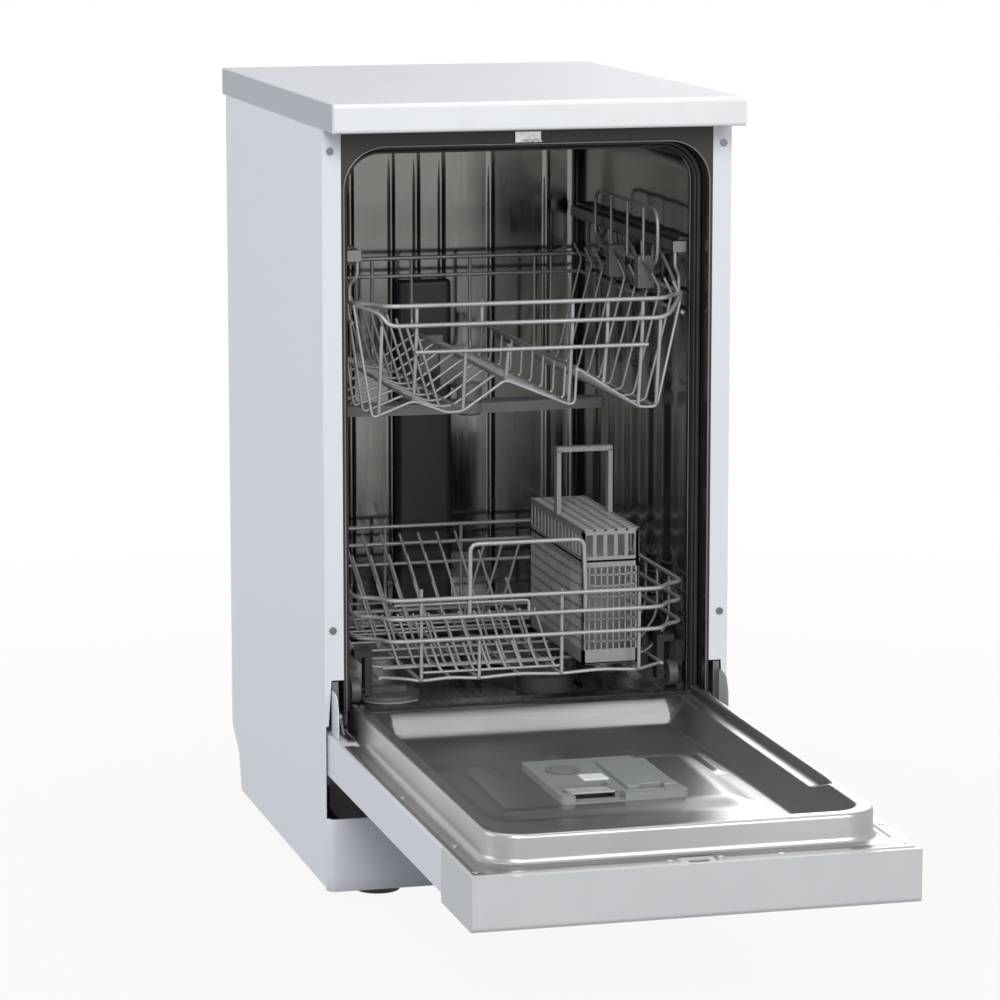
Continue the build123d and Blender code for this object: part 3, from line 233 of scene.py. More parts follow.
def grain(tree, scale, detail, stretch=(1, 1, 1), roughness=0.5):
    """Noise over the piece's own place in metres, squeezed along each axis by stretch."""
    place = tree.nodes.new("ShaderNodeTexCoord")
    squeeze = tree.nodes.new("ShaderNodeMapping")
    squeeze.inputs["Scale"].default_value = stretch
    noise = tree.nodes.new("ShaderNodeTexNoise")
    noise.inputs["Scale"].default_value = scale
    noise.inputs["Detail"].default_value = detail
    noise.inputs["Roughness"].default_value = roughness
    tree.links.new(place.outputs["Object"], squeeze.inputs["Vector"])
    tree.links.new(squeeze.outputs["Vector"], noise.inputs["Vector"])
    return noise.outputs["Fac"]


def tones(tree, value, dark, light, start=0.35, end=0.65):
    """Turn a value into a colour between two tones."""
    ramp = tree.nodes.new("ShaderNodeValToRGB")
    ramp.color_ramp.elements[0].position = start
    ramp.color_ramp.elements[0].color = (*dark, 1)
    ramp.color_ramp.elements[1].position = end
    ramp.color_ramp.elements[1].color = (*light, 1)
    tree.links.new(value, ramp.inputs["Fac"])
    return ramp.outputs["Color"]


def span(tree, value, low, high, start=0.3, end=0.7):
    """Turn a value into a number between two limits."""
    change = tree.nodes.new("ShaderNodeMapRange")
    change.inputs["From Min"].default_value = start
    change.inputs["From Max"].default_value = end
    change.inputs["To Min"].default_value = low
    change.inputs["To Max"].default_value = high
    tree.links.new(value, change.inputs["Value"])
    return change.outputs["Result"]


def relief(tree, shader, value, depth, strength):
    """Use a value as a height in metres for small bumps."""
    bump = tree.nodes.new("ShaderNodeBump")
    bump.inputs["Strength"].default_value = strength
    bump.inputs["Distance"].default_value = depth
    tree.links.new(value, bump.inputs["Height"])
    tree.links.new(bump.outputs["Normal"], shader.inputs["Normal"])


def scaled(colour, factor):
    """A colour made darker or lighter."""
    return tuple(min(1.0, part * factor) for part in colour)


print("helpers for finishes are ready")

# %% [markdown]
# ### Enamel, laminate and plastic
# The cabinet is thin steel with a white baked coat. The worktop is a white laminate on board,
# flatter and a touch greyer. Plastics share one recipe: a base tone, a slow drift of colour and
# a fine pebble whose depth makes the part look matt or glossy.


# %% Painted and moulded finishes
def enamel(name, colour):
    """Baked enamel on sheet: a thin gloss coat over a faint orange peel."""
    material, tree, shader = begin(name)
    shader.inputs["Specular IOR Level"].default_value = 0.3
    shader.inputs["Coat Weight"].default_value = 0.06
    shader.inputs["Coat Roughness"].default_value = 0.12
    drift = grain(tree, 1.5, 1.0)
    peel = grain(tree, 420.0, 1.0)
    tree.links.new(tones(tree, drift, scaled(colour, 0.99), colour), shader.inputs["Base Color"])
    tree.links.new(span(tree, peel, 0.30, 0.34), shader.inputs["Roughness"])
    relief(tree, shader, peel, 0.00004, 0.5)
    return material


def laminate(name, colour):
    """Laminate on board: matt, with a short fibre in its surface."""
    material, tree, shader = begin(name)
    shader.inputs["Specular IOR Level"].default_value = 0.15
    fibre = grain(tree, 900.0, 2.0, (1.0, 0.35, 1.0))
    drift = grain(tree, 6.0, 2.0)
    tree.links.new(tones(tree, drift, scaled(colour, 0.99), colour), shader.inputs["Base Color"])
    tree.links.new(span(tree, fibre, 0.5, 0.62), shader.inputs["Roughness"])
    relief(tree, shader, fibre, 0.00005, 0.6)
    return material


def moulded(name, colour, gloss, pebble=0.00006):
    """Plastic; a lower gloss number is shinier."""
    material, tree, shader = begin(name)
    drift = grain(tree, 25.0, 3.0)
    fine = grain(tree, 1400.0, 2.0)
    tree.links.new(tones(tree, drift, scaled(colour, 0.98), scaled(colour, 1.01)),
                   shader.inputs["Base Color"])
    tree.links.new(span(tree, fine, gloss - 0.07, gloss + 0.08), shader.inputs["Roughness"])
    relief(tree, shader, fine, pebble, 0.7)
    return material


white_enamel = enamel("white_enamel", (0.77, 0.795, 0.84))
door_enamel = enamel("door_enamel", (0.72, 0.74, 0.78))
white_laminate = laminate("white_laminate", (0.56, 0.57, 0.59))
white_moulding = moulded("white_moulding", (0.80, 0.815, 0.825), 0.32, 0.00003)
fascia_moulding = moulded("fascia_moulding", (0.55, 0.56, 0.57), 0.34, 0.00003)
black_moulding = moulded("black_moulding", (0.015, 0.015, 0.016), 0.5)
dark_moulding = moulded("dark_moulding", (0.03, 0.03, 0.032), 0.42)
slate_moulding = moulded("slate_moulding", (0.09, 0.093, 0.097), 0.42)
mid_moulding = moulded("mid_grey_moulding", (0.17, 0.175, 0.18), 0.42)
grey_moulding = moulded("grey_moulding", (0.27, 0.275, 0.28), 0.4)
dispenser_moulding = moulded("dispenser_moulding", (0.24, 0.25, 0.25), 0.36)
pale_grey_moulding = moulded("pale_grey_moulding", (0.42, 0.43, 0.42), 0.36)
pale_moulding = moulded("pale_moulding", (0.62, 0.62, 0.60), 0.5)
basket_plastic = moulded("basket_plastic", (0.29, 0.295, 0.29), 0.42)
print("materials so far:", len(bpy.data.materials))

# %% [markdown]
# ### Steel, wire and rubber
# The tub is polished stainless sheet. It mirrors its dark surroundings, and its base colour is also
# set a dark brown-grey well below bare steel as a painted dark reflection, so it looks brown-grey and
# streaky, with fine lines along the rolling direction. The racks are steel wire dipped in grey nylon.
# The seals are black rubber with hardly any shine.


# %% Metal and rubber finishes
def steel(name, colour, low, high, stretch=(1.0, 1.0, 0.04), streak=260.0, depth=0.00002):
    """Sheet metal, rough from low to high, with streaks along the axis of the smallest stretch."""
    material, tree, shader = begin(name)
    shader.inputs["Metallic"].default_value = 1.0
    lines = grain(tree, streak, 3.0, stretch, 0.65)
    cloud = grain(tree, 5.0, 3.0)
    tree.links.new(tones(tree, cloud, scaled(colour, 0.8), colour, 0.3, 0.7),
                   shader.inputs["Base Color"])
    tree.links.new(span(tree, lines, low, high), shader.inputs["Roughness"])
    relief(tree, shader, lines, depth, 0.6)
    return material


def coated_wire(name, colour):
    """Steel wire dipped in nylon: a soft sheen with small lumps."""
    material, tree, shader = begin(name)
    shader.inputs["Metallic"].default_value = 0.35
    lumps = grain(tree, 300.0, 2.0)
    drift = grain(tree, 14.0, 2.0)
    tree.links.new(tones(tree, drift, scaled(colour, 0.82), colour), shader.inputs["Base Color"])
    tree.links.new(span(tree, lumps, 0.28, 0.42), shader.inputs["Roughness"])
    relief(tree, shader, lumps, 0.00006, 0.6)
    return material


def rubber(name, colour):
    """Rubber that is nearly without shine and a little dusty."""
    material, tree, shader = begin(name)
    dust = grain(tree, 60.0, 4.0)
    fine = grain(tree, 900.0, 2.0)
    tree.links.new(tones(tree, dust, colour, scaled(colour, 1.8)), shader.inputs["Base Color"])
    tree.links.new(span(tree, fine, 0.5, 0.7), shader.inputs["Roughness"])
    relief(tree, shader, fine, 0.00005, 0.6)
    return material


# The tub steel's dark brown-grey base colour is a painted dark reflection: painted shade for the
# inside of the tub.
tub_steel_painted_dark = steel("tub_steel_painted_dark", (0.26, 0.253, 0.238), 0.10, 0.2)
floor_steel = steel("floor_steel", (0.34, 0.335, 0.32), 0.16, 0.30, (1.0, 0.05, 1.0))
liner_steel = steel("liner_steel", (0.42, 0.42, 0.415), 0.28, 0.35, (0.04, 1.0, 1.0), 260.0, 0.000005)
plated_steel = steel("plated_steel", (0.62, 0.62, 0.63), 0.22, 0.4, (1, 1, 1), 300.0)
hinge_steel = steel("hinge_steel", (0.2, 0.2, 0.2), 0.3, 0.45, (1, 1, 1), 300.0)
rear_sheet = steel("galvanised_sheet", (0.52, 0.53, 0.54), 0.35, 0.55, (1, 1, 1), 40.0)
grey_wire = coated_wire("grey_coated_wire", (0.40, 0.41, 0.41))
black_rubber = rubber("black_rubber", (0.012, 0.012, 0.012))
print("finishes:", len(bpy.data.materials))

# %% [markdown]
# ## Bent and welded wire
# Both racks are round wire, bent cold, spot welded where the wires cross, and dipped in nylon. A
# curve with a round bevel draws a wire of any thickness from a handful of points, so one curve
# object holds a whole rack. Every bend is a short arc, since a wire can't turn on the spot.


# %% Helpers that bend and draw wire
def straight(start, end):
    """The path of a wire without bends."""
    return [Vector(start), Vector(end)]


def bent(points, corner, closed=False):
    """Replace each corner of a line of points by a short curve that starts this far from it."""
    points = [Vector(point) for point in points]
    path = []
    for number, spot in enumerate(points):
        if not closed and number in (0, len(points) - 1):
            path.append(spot)
            continue
        before, after = points[number - 1], points[(number + 1) % len(points)]
        start = spot + (before - spot).normalized() * min(corner, 0.45 * (before - spot).length)
        end = spot + (after - spot).normalized() * min(corner, 0.45 * (after - spot).length)
        for step in range(6):
            t = step / 5
            path.append((1 - t) ** 2 * start + 2 * t * (1 - t) * spot + t * t * end)
    return path


def draw_wires(name, wires, body, material, stands_for=()):
    """One curve from many wires, each a path, a radius in mm and True where the ends meet."""
    curve = bpy.data.curves.new(name, "CURVE")
    curve.dimensions = "3D"
    curve.bevel_depth = 0.001
    curve.bevel_resolution = 2
    curve.use_fill_caps = True
    for path, radius, *ring in wires:
        spline = curve.splines.new("POLY")
        spline.points.add(len(path) - 1)
        for knot, spot in zip(spline.points, path):
            knot.co = (*metres(spot), 1)
            knot.radius = radius
        spline.use_cyclic_u = bool(ring)
        spline.use_smooth = True
    show(name, curve, body, material, stands_for)


RIM, FRAME, MESH = 2.5, 2.1, 1.6
RACK_HALF, BACK = 183, 446.0
print("wire radii in millimetres:", RIM, FRAME, MESH)

# %% [markdown]
# ### The upper rack
# Seen from the front it is a saw-tooth floor that hangs from two rims. The glasses lean on its
# slopes. The same bent line is repeated nine times towards the back, and eight wires along the
# depth tie the lines together. Seven of them rise at the front.


# %% Upper rack, wire by wire
def rack_rim(height, left, right, swing):
    """A closed rim: a straight front between two places across and an S-bend back to each side."""
    front = at(2)
    ring = [(left, front), (left - swing * 0.55, front + swing * 1.05),
            (-RACK_HALF, front + swing * 1.6), (-RACK_HALF, at(BACK)), (RACK_HALF, at(BACK)),
            (RACK_HALF, front + swing * 1.6), (right + swing * 0.55, front + swing * 1.05),
            (right, front)]
    return bent([(x, y, height) for x, y in ring], 16.0, True)


SAW = [(-183, 639), (-166, 519), (-121, 536), (-84, 522), (-67, 523), (-20, 555), (50, 526),
       (57, 527), (59, 565), (130, 520), (149, 520), (179, 636), (170, 654)]
upper_wires = [(rack_rim(640, -152, 152, 22), RIM, True)]
lip = [(-180, at(34), 638), (-160, at(9), 632), (-152, at(2), 619), (148, at(2), 619),
       (160, at(10), 623), (179, at(36), 638)]
upper_wires.append((bent(lip, 10.0), RIM))
upper_wires.append((straight((-123, at(6), 590), (134, at(6), 590)), FRAME + 0.2))
crossing_depths = [22] + [66 + 44.625 * number for number in range(9)]
for depth in crossing_depths:
    setback = 12 if depth < 30 else 0
    crossing = [(x, at(depth + (setback if abs(x) > 168 else 0)), z) for x, z in SAW]
    upper_wires.append((bent(crossing, 6.0), MESH))
    if depth > 30:
        upper_wires.append((straight((-82, at(depth), 522), (-108, at(depth), 607)), MESH))
uprights = {-159: (619, 520), -121: (642, 536), -67: (595, 523), -20: (595, 555), 50: (642, 527),
            128: (642, 520), 148: (619, 520)}
for x, (top, foot) in uprights.items():
    run = [(x, at(6), top), (x, at(7), 612), (x, at(22), foot), (x, at(BACK - 6), foot),
           (x, at(BACK), foot + 10), (x, at(BACK), 640)]
    if top < 600:
        run[1] = (x, at(9), 590)
    upper_wires.append((bent(run, 6.0), FRAME))
upper_wires.append((straight((-50, at(6), 643), (-50, at(6), 616)), FRAME))
upper_wires.append((bent([(89, at(6), 642), (89, at(8), 600), (89, at(22), 548)], 4.0), FRAME))
upper_wires.append((straight((59, at(20), 564), (59, at(BACK), 564)), FRAME))
print("wires in the upper rack so far:", len(upper_wires))

# %% Hangers that carry the upper rack on its slides
for side in (-1, 1):
    for near in (46, 170, 300):
        zigzag = [(side * 176, at(near), 685), (side * 176, at(near), 668),
                  (side * RACK_HALF, at(near + 8), 658), (side * RACK_HALF, at(near + 8), 641)]
        upper_wires.append((bent(zigzag, 5.0), MESH + 0.3))
        brace = [(side * RACK_HALF, at(near + 10), 641), (side * 177, at(near + 62), 684),
                 (side * 177, at(near + 84), 684), (side * RACK_HALF, at(near + 110), 641)]
        upper_wires.append((bent(brace, 9.0), MESH + 0.3))
    edge = side * RACK_HALF
    upper_wires.append((straight((edge, at(40), 619), (edge, at(BACK), 619)), FRAME))
upper_wires.append((straight((-RACK_HALF, at(BACK), 619), (RACK_HALF, at(BACK), 619)), FRAME))
draw_wires("upper_rack", upper_wires, "top_basket", grey_wire, ("upper_basket",))
print("upper rack wires:", len(upper_wires))

# %% [markdown]
# ### The cup shelf
# A folding shelf stands up against the right side of the rack: one wire loop with round ends,
# three uprights between, and two clips that it turns in.

# %% Cup shelf
shelf = [(168, at(84), 664), (168, at(84), 726), (168, at(328), 726), (168, at(328), 664)]
shelf_wires = [(bent(shelf, 22.0, True), 2.0, True)]
for depth in (138, 200, 264):
    shelf_wires.append((straight((168, at(depth), 664), (168, at(depth), 726)), MESH))
draw_wires("cup_shelf_loop", shelf_wires, "folding_shelf", grey_wire, ("cup_shelf",))
print("cup shelf wires:", len(shelf_wires))

# %% [markdown]
# ### The lower rack
# Three rims with the same S-bends, a carrying handle that rises in the middle of the front, and
# floor wires that run to the back. Plates stand between rows of tines, and all the tines of a
# row lean the same way.

# %% Lower rack, rims and floor
FLOOR = 236.0
lower_wires = []
for height, radius in ((324, RIM), (303.5, RIM - 0.1), (279.5, RIM - 0.2)):
    lower_wires.append((rack_rim(height, -150, 150, 21), radius, True))
stop_wire = [(-146, at(9), 318), (0, at(5.5), 318), (2, at(5.5), 316), (2, at(5.5), 302)]
lower_wires.append((bent(stop_wire, 4.0), MESH + 0.3))
handle = [(-64, at(6), 303), (-64, at(3), 330), (-64, at(2), 382), (62, at(2), 382),
          (64.5, at(3), 330), (65, at(6), 303)]
lower_wires.append((bent(handle, 9.0), RIM))
hoop = [(-RACK_HALF, 324), (-RACK_HALF, 270), (-158, FLOOR), (158, FLOOR), (RACK_HALF, 270),
        (RACK_HALF, 324)]
for depth in range(82, 435, 44):
    lower_wires.append((bent([(x, at(depth), z) for x, z in hoop], 14.0), MESH))
for x, top in ((-117, 335), (-53, 281), (39, 328), (126, 326)):
    run = [(x, at(6), top), (x, at(7), FLOOR - 3), (x, at(24), FLOOR - 2), (x, at(BACK - 4), FLOOR),
           (x, at(BACK), FLOOR + 12), (x, at(BACK), 324)]
    lower_wires.append((bent(run, 7.0), FRAME))
for x in (-158, -84, -8, 84, 158):
    near = 26 if abs(x) > 100 else 10
    lower_wires.append((straight((x, at(near), FLOOR), (x, at(BACK - 8), FLOOR)), FRAME - 0.3))
front_foot = ((-158, 30, 0), (-132, 16, 0), (-117, 10, -2), (-84, 12, 0), (-53, 10, -2), (-8, 12, 0),
              (39, 10, -2), (84, 12, 0), (126, 10, -2), (158, 30, 0))
front_foot = [(x, at(depth), FLOOR + lift) for x, depth, lift in front_foot]
lower_wires.append((bent(front_foot, 9.0), MESH + 0.3))
print("lower rack wires so far:", len(lower_wires))

# %% Tines for the plates
# Each row: depth, pitch, height, number of tines and the place of the first one.
tine_rows = ((28, 18.0, 34, 8, 34), (60, 17.0, 62, 11, 40), (155, 21.0, 78, 9, 38),
             (262, 21.0, 90, 9, 38), (368, 22.0, 94, 9, 38))
for depth, pitch, height, count, first in tine_rows:
    carrier = straight((first - pitch * count, at(depth), FLOOR + 3), (46, at(depth), FLOOR + 3))
    lower_wires.append((carrier, MESH))
    for number in range(count):
        x = first - number * pitch
        tine = [(x + 3, at(depth), FLOOR + 3), (x, at(depth), FLOOR + 8),
                (x - height * 0.28, at(depth), FLOOR + height)]
        lower_wires.append((bent(tine, 4.0), MESH))
for foot in (6, 27, 48):
    support = straight((foot, at(310), FLOOR), (foot + 26, at(310), FLOOR + 88))
    lower_wires.append((support, MESH))
draw_wires("lower_rack", lower_wires, "bottom_basket", grey_wire, ("lower_basket",))
print("lower rack wires:", len(lower_wires))

# %% [markdown]
# ## Sheet pressed to shape
# The tub and the inside of the door are thin stainless sheet, pressed in one piece. Such a part
# is best drawn as a run of outlines that are skinned together, the way a pattern maker thinks of
# it: flange, groove, wall, rounded brim, slope and floor. Every bend gets two or three outlines,
# so the light rolls over it instead of breaking.


# %% A skin over rows of points
def skin(name, rows):
    """A smooth mesh over rows of points in millimetres, each row with as many points."""
    mesh = bpy.data.meshes.new(name)
    build = bmesh.new()
    grid = [[build.verts.new(metres(point)) for point in row] for row in rows]
    for row, following in zip(grid, grid[1:]):
        for number in range(len(row) - 1):
            after = number + 1
            build.faces.new((row[number], row[after], following[after], following[number]))
    for face in build.faces:
        face.smooth = True
    build.to_mesh(mesh)
    build.free()
    return mesh


def ease(value, start, end):
    """A number that goes smoothly from 0 at start to 1 at end."""
    share = min(1.0, max(0.0, (value - start) / (end - start)))
    return share * share * (3 - 2 * share)


print("helpers for pressed sheet are ready")

# %% [markdown]
# ### Inside of the door
# From the rim inwards there is a flat flange with a groove, an upright wall, a flat brim and a
# slope down to the pan. Towards the hinge the brim is recessed into a track for the rack's
# wheels, and the pan ends in a ramp. Each outline is a U that is open at the hinge side. A notch
# in the flange lets the door's hook reach the striker.

# %% One outline of the liner
SIDE_STOPS = [10, 4, 0, -1, -4, -9, -15, -21, -26, -30, -32, -48, -70, -110, -180, -260, -340,
              -400, -420, -425, -432, -439, -446, -453, -460, -467, -480, -500]
NOTCH = (19.3, -16.5)
PAN_FLOOR, RAMP_RISE, RAMP_LENGTH = 178, 25, 30


def hinge_ramp(depth):
    """Height of the pan where it curls up towards the hinge."""
    share = min(1.0, max(0.0, (depth + RAMP_LENGTH) / RAMP_LENGTH))
    return PAN_FLOOR + RAMP_RISE * (0.7 * share + 0.3 * ease(share, 0, 1))


def liner_outline(half, reach, corner, height, track_half=None, track_height=None, hinge_end=10):
    """One U-shaped outline; towards the hinge it may lie elsewhere, in the wheel track."""
    side = []
    for stop in SIDE_STOPS:
        depth = hinge_end - (10 - stop) * (hinge_end + 500) / 510
        x, z = half, height
        if track_half is not None:
            share = ease(depth, -464, -425)
            x += share * (track_half - half)
            z += share * (track_height - height)
        side.append((x, depth, max(z, hinge_ramp(depth)) if x < 172 else z))
    turn = [(half - corner + corner * math.cos(a), -(reach - corner + corner * math.sin(a)), height)
            for a in (math.radians(90 * step / 12) for step in range(13))]
    right = side + turn
    flat = half - corner
    across = (0.66 * flat, 0.33 * flat, *NOTCH, -0.33 * flat, -0.66 * flat)
    middle = [(x, -reach, height) for x in across]
    left = [(-x, y, z) for x, y, z in reversed(right)]
    return [(x, at(y), z) for x, y, z in right + middle + left]


# Each row: half width, reach, corner radius, height, and where it differs in the wheel track.
flange_rows = ((218.6, 607.8, 5, 182.6), (218.2, 607.4, 5, 183.5), (217.4, 606.6, 5, 183.9),
               (206.5, 595.5, 30, 183.9), (205.6, 594.4, 31, 183.1), (201.0, 589.6, 35, 183.1),
               (200.2, 588.6, 36, 183.9))
bowl_rows = ((198.0, 583.6, 37, 184.2), (196.4, 581.2, 38, 186.4), (195.6, 580.2, 38, 190.0),
             (195.2, 579.8, 38, 208.6), (194.7, 579.2, 37.5, 210.8), (193.6, 578.0, 37, 212.1),
             (191.8, 576.2, 36, 212.5), (188.0, 573.0, 34, 212.5, 187.6, 212.4),
             (186.6, 571.4, 33, 212.5, 186.5, 211.6), (185.6, 570.2, 32, 212.5, 185.6, 209.6),
             (184.6, 569.0, 31, 212.5, 185.2, 205.0), (183.4, 567.6, 30, 212.5, 184.2, 203.3),
             (182.0, 566.2, 30, 212.5, 182.4, 203.1), (180.2, 564.8, 29, 212.1, 173.4, 203.1),
             (178.6, 563.4, 28, 210.6, 171.6, 202.8), (176.8, 562.0, 28, 208.2, 170.2, 201.8),
             (154.6, 544.0, 24, 182.0), (152.2, 541.8, 23, 179.6), (149.6, 539.2, 22, 178.4),
             (146.0, 535.6, 20, 178.1))
outlines = [liner_outline(*row, hinge_end=-60) for row in flange_rows]
outlines += [liner_outline(*row) for row in bowl_rows]
print("outlines of the liner:", len(outlines), "of", len(outlines[0]), "points")


# %% Floor of the pan
PAN_HALF, PAN_REACH, PAN_CORNER, PAN_STEPS = 146, 535.6, 20, 36
PLATEAU_RISE, RIB_RISE = 7.0, 2.6
# Each rib: its place across, its end towards the top of the door and its end towards the hinge.
RIBS = ((-95, -256, -160), (-10, -178, -130), (70, -176, -133), (135, -256, -163))


def pan_height(x, depth):
    """Height of the pan: a floor with a low plateau under the dispenser, four ribs and the ramp."""
    plateau = (ease(depth, -404, -366) * (1 - ease(depth, -200, -150)) * ease(x, -146, -122)
               * (1 - ease(x, 104, 138)))
    rib = max((1 - ease(abs(x - across), 1.5, 5.5)) * ease(depth, near, near + 12)
              * (1 - ease(depth, far - 12, far)) for across, near, far in RIBS)
    level = max(PAN_FLOOR + 0.1, hinge_ramp(depth))
    return level + PLATEAU_RISE * plateau + RIB_RISE * rib * (1 - 0.5 * plateau)


pan_depths = set(SIDE_STOPS[:13])
pan_depths.update(-58 - 12 * step for step in range(6))
pan_depths.update(-130 - 4 * step for step in range(73))
pan_depths.update(-430 - 12 * step for step in range(8))
corner_start = -(PAN_REACH - PAN_CORNER)
corner_depths = [corner_start - PAN_CORNER * math.sin(math.radians(a)) for a in range(0, 91, 15)]
pan_rows = []
for depth in sorted(pan_depths, reverse=True) + corner_depths:
    beyond = max(0.0, corner_start - depth)
    half = PAN_HALF - PAN_CORNER + math.sqrt(max(0.0, PAN_CORNER ** 2 - beyond ** 2))
    places = [half * share / PAN_STEPS for share in range(PAN_STEPS, -PAN_STEPS - 1, -1)]
    pan_rows.append([(x, at(depth), pan_height(x, depth)) for x in places])
print("rows in the pan:", len(pan_rows))

# %% Join liner and pan, and cut the notch
NOTCH_DEPTH = -588.8
liner_mesh = skin("pressed_liner", outlines)
pan_mesh = skin("pan_floor", pan_rows)
build = bmesh.new()
build.from_mesh(liner_mesh)
build.from_mesh(pan_mesh)
bpy.data.meshes.remove(pan_mesh)
bmesh.ops.remove_doubles(build, verts=build.verts[:], dist=0.00001)
notch = []
for face in build.faces:
    middle = 1000 * face.calc_center_median()
    if NOTCH[1] < middle.x < NOTCH[0] and middle.y < at(NOTCH_DEPTH):
        notch.append(face)
bmesh.ops.delete(build, geom=notch, context="FACES")
bmesh.ops.recalc_face_normals(build, faces=build.faces[:])
build.to_mesh(liner_mesh)
build.free()
show("pressed_liner", liner_mesh, "door", liner_steel, ("door_liner",))
print("faces in the liner:", len(liner_mesh.polygons))

# %% [markdown]
# ### The tub
# The tub wall is ribbed so that thin sheet stays stiff: wide waves along the sides, narrow
# grooves down the back. Waves in a mirror make the streaks that the photograph shows, so they
# are modelled and not painted.


# %% Tub walls
TUB_HALF, TUB_TOP, TUB_CORNER, TUB_FLOOR = 190, 798, 35, 203
BACK_ROUND, BACK_DEPTH = 14, 466
WAVE_RISE, WAVE_LENGTH = 2.4, 62


def tub_line(half, top, corner, bottom, depth, swell=0.0):
    """Points along the walls and roof at one depth; swell pushes the upright walls outwards."""
    heights = [bottom + (top - corner - bottom) * step / 16 for step in range(17)]
    spring = top - corner
    right = []
    for z in heights:
        share = ease(z, bottom, bottom + 24) * (1 - ease(z, spring - 170, spring - 10))
        right.append((half + swell * share, z))
    right += [(half - corner + corner * math.cos(a), top - corner + corner * math.sin(a))
              for a in (math.radians(90 * step / 10) for step in range(1, 11))]
    roof = [((half - corner) * share, top) for share in (0.75, 0.5, 0.25, 0.0, -0.25, -0.5, -0.75)]
    left = [(-x, z) for x, z in reversed(right)]
    return [(x, at(depth), z) for x, z in right + roof + left]


def wave(depth):
    """How far the side wall bulges at this depth."""
    edge = ease(depth, 62, 84) * (1 - ease(depth, 430, 456))
    return WAVE_RISE * edge * (0.5 - 0.5 * math.cos((depth - 72) * math.tau / WAVE_LENGTH))


# Each row: half width, top, corner radius, foot and depth, from the rim to the first plain line.
mouth_rows = ((200.6, 808.6, 45.5, 190, 1.2), (200.2, 808.2, 45, 190, 0.6),
              (199.6, 807.6, 44.5, 190, 1.0), (199.5, 807.5, 44.5, 190, 3),
              (199.5, 807.5, 44.5, 190, 38.6), (198.9, 806.9, 44, 190, 39.6),
              (191.2, 799.2, 36, TUB_FLOOR, 40.0), (190.2, 798.2, 35.3, TUB_FLOOR, 40.9),
              (TUB_HALF, TUB_TOP, TUB_CORNER, TUB_FLOOR, 43))
lines = [tub_line(*row) for row in mouth_rows]
lines += [tub_line(TUB_HALF, TUB_TOP, TUB_CORNER, TUB_FLOOR, depth, wave(depth))
          for depth in range(50, 468, 6)]
for step in range(1, 7):
    angle = math.radians(15 * step)
    inset = BACK_ROUND * (1 - math.cos(angle))
    lines.append(tub_line(TUB_HALF - inset, TUB_TOP - inset, TUB_CORNER - inset, TUB_FLOOR,
                          BACK_DEPTH + BACK_ROUND * math.sin(angle)))
print("lines round the tub:", len(lines))

# %% Back wall of the tub
GROOVES = (-160, -85, -36, -6, 24, 84, 152)
GROOVE_DEPTH, BACK_FACE = 2.4, 479.8


def tub_roof(x):
    """Height of the roof of the rounded back wall at this place across."""
    beyond = max(0.0, abs(x) - (TUB_HALF - TUB_CORNER))
    return TUB_TOP - TUB_CORNER + math.sqrt(max(0.0, TUB_CORNER ** 2 - beyond ** 2))


columns = []
for number in range(233):
    x = -177.48 + number * 1.53
    dip = max(1 - ease(abs(x - place), 1.0, 4.6) for place in GROOVES)
    top = min(TUB_TOP - BACK_ROUND, tub_roof(x) - 10)
    column = []
    for step in range(21):
        z = TUB_FLOOR + (top - TUB_FLOOR) * step / 20
        fade_out = ease(z, 214, 250) * (1 - ease(z, top - 50, top - 14))
        column.append((x, at(BACK_FACE - GROOVE_DEPTH * dip * fade_out), z))
    columns.append(column)
walls = skin("ribbed_tub", lines)
back = skin("tub_back", columns)
build = bmesh.new()
build.from_mesh(walls)
build.from_mesh(back)
build.to_mesh(walls)
build.free()
bpy.data.meshes.remove(back)
show("ribbed_tub", walls, "cabinet", tub_steel_painted_dark, ("tub_shell",))
print("tub wall:", len(walls.polygons), "faces,", len(GROOVES), "grooves in the back")

# %% [markdown]
# ### Rim and seal of the mouth
# A narrow folded rim runs round the mouth, and a soft black lip stands in front of the seal. Both
# follow the same arch, so one helper gives the line and two curves take it.


# %% Rim and lip
def arch_line(half, top, corner, bottom, depth):
    """The line of an arch with two round corners, from its left foot to its right foot."""
    path = [Vector((-half, at(depth), bottom))]
    for side, start in ((-1, 180), (1, 90)):
        for step in range(13):
            angle = math.radians(start - 90 * step / 12)
            path.append(Vector((side * (half - corner) + corner * math.cos(angle), at(depth),
                                top - corner + corner * math.sin(angle))))
    return path + [Vector((half, at(depth), bottom))]


rim_lines = [(arch_line(200.4, 808.4, 45.2, 207, 1.0), 1.1)]
lip_lines = [(arch_line(196.6, 804.6, 41.5, 205, 28.0), 2.6),
             (arch_line(192.4, 800.4, 37.5, 205, 28.2), 1.6)]
draw_wires("mouth_rim", rim_lines, "cabinet", hinge_steel)
draw_wires("seal_lip", lip_lines, "cabinet", black_rubber)
print("mouth rim and seal lip added")

# %% [markdown]
# ## The cutlery basket
# This is one injection moulding with a hinged lattice lid: tall slots under the lid, a plain
# band, a fine lattice, and a closed band at the foot. It is drawn bar by bar. Each bar is a short
# beam with chamfered edges, and the cross bars of the lattice sag a little in the middle.


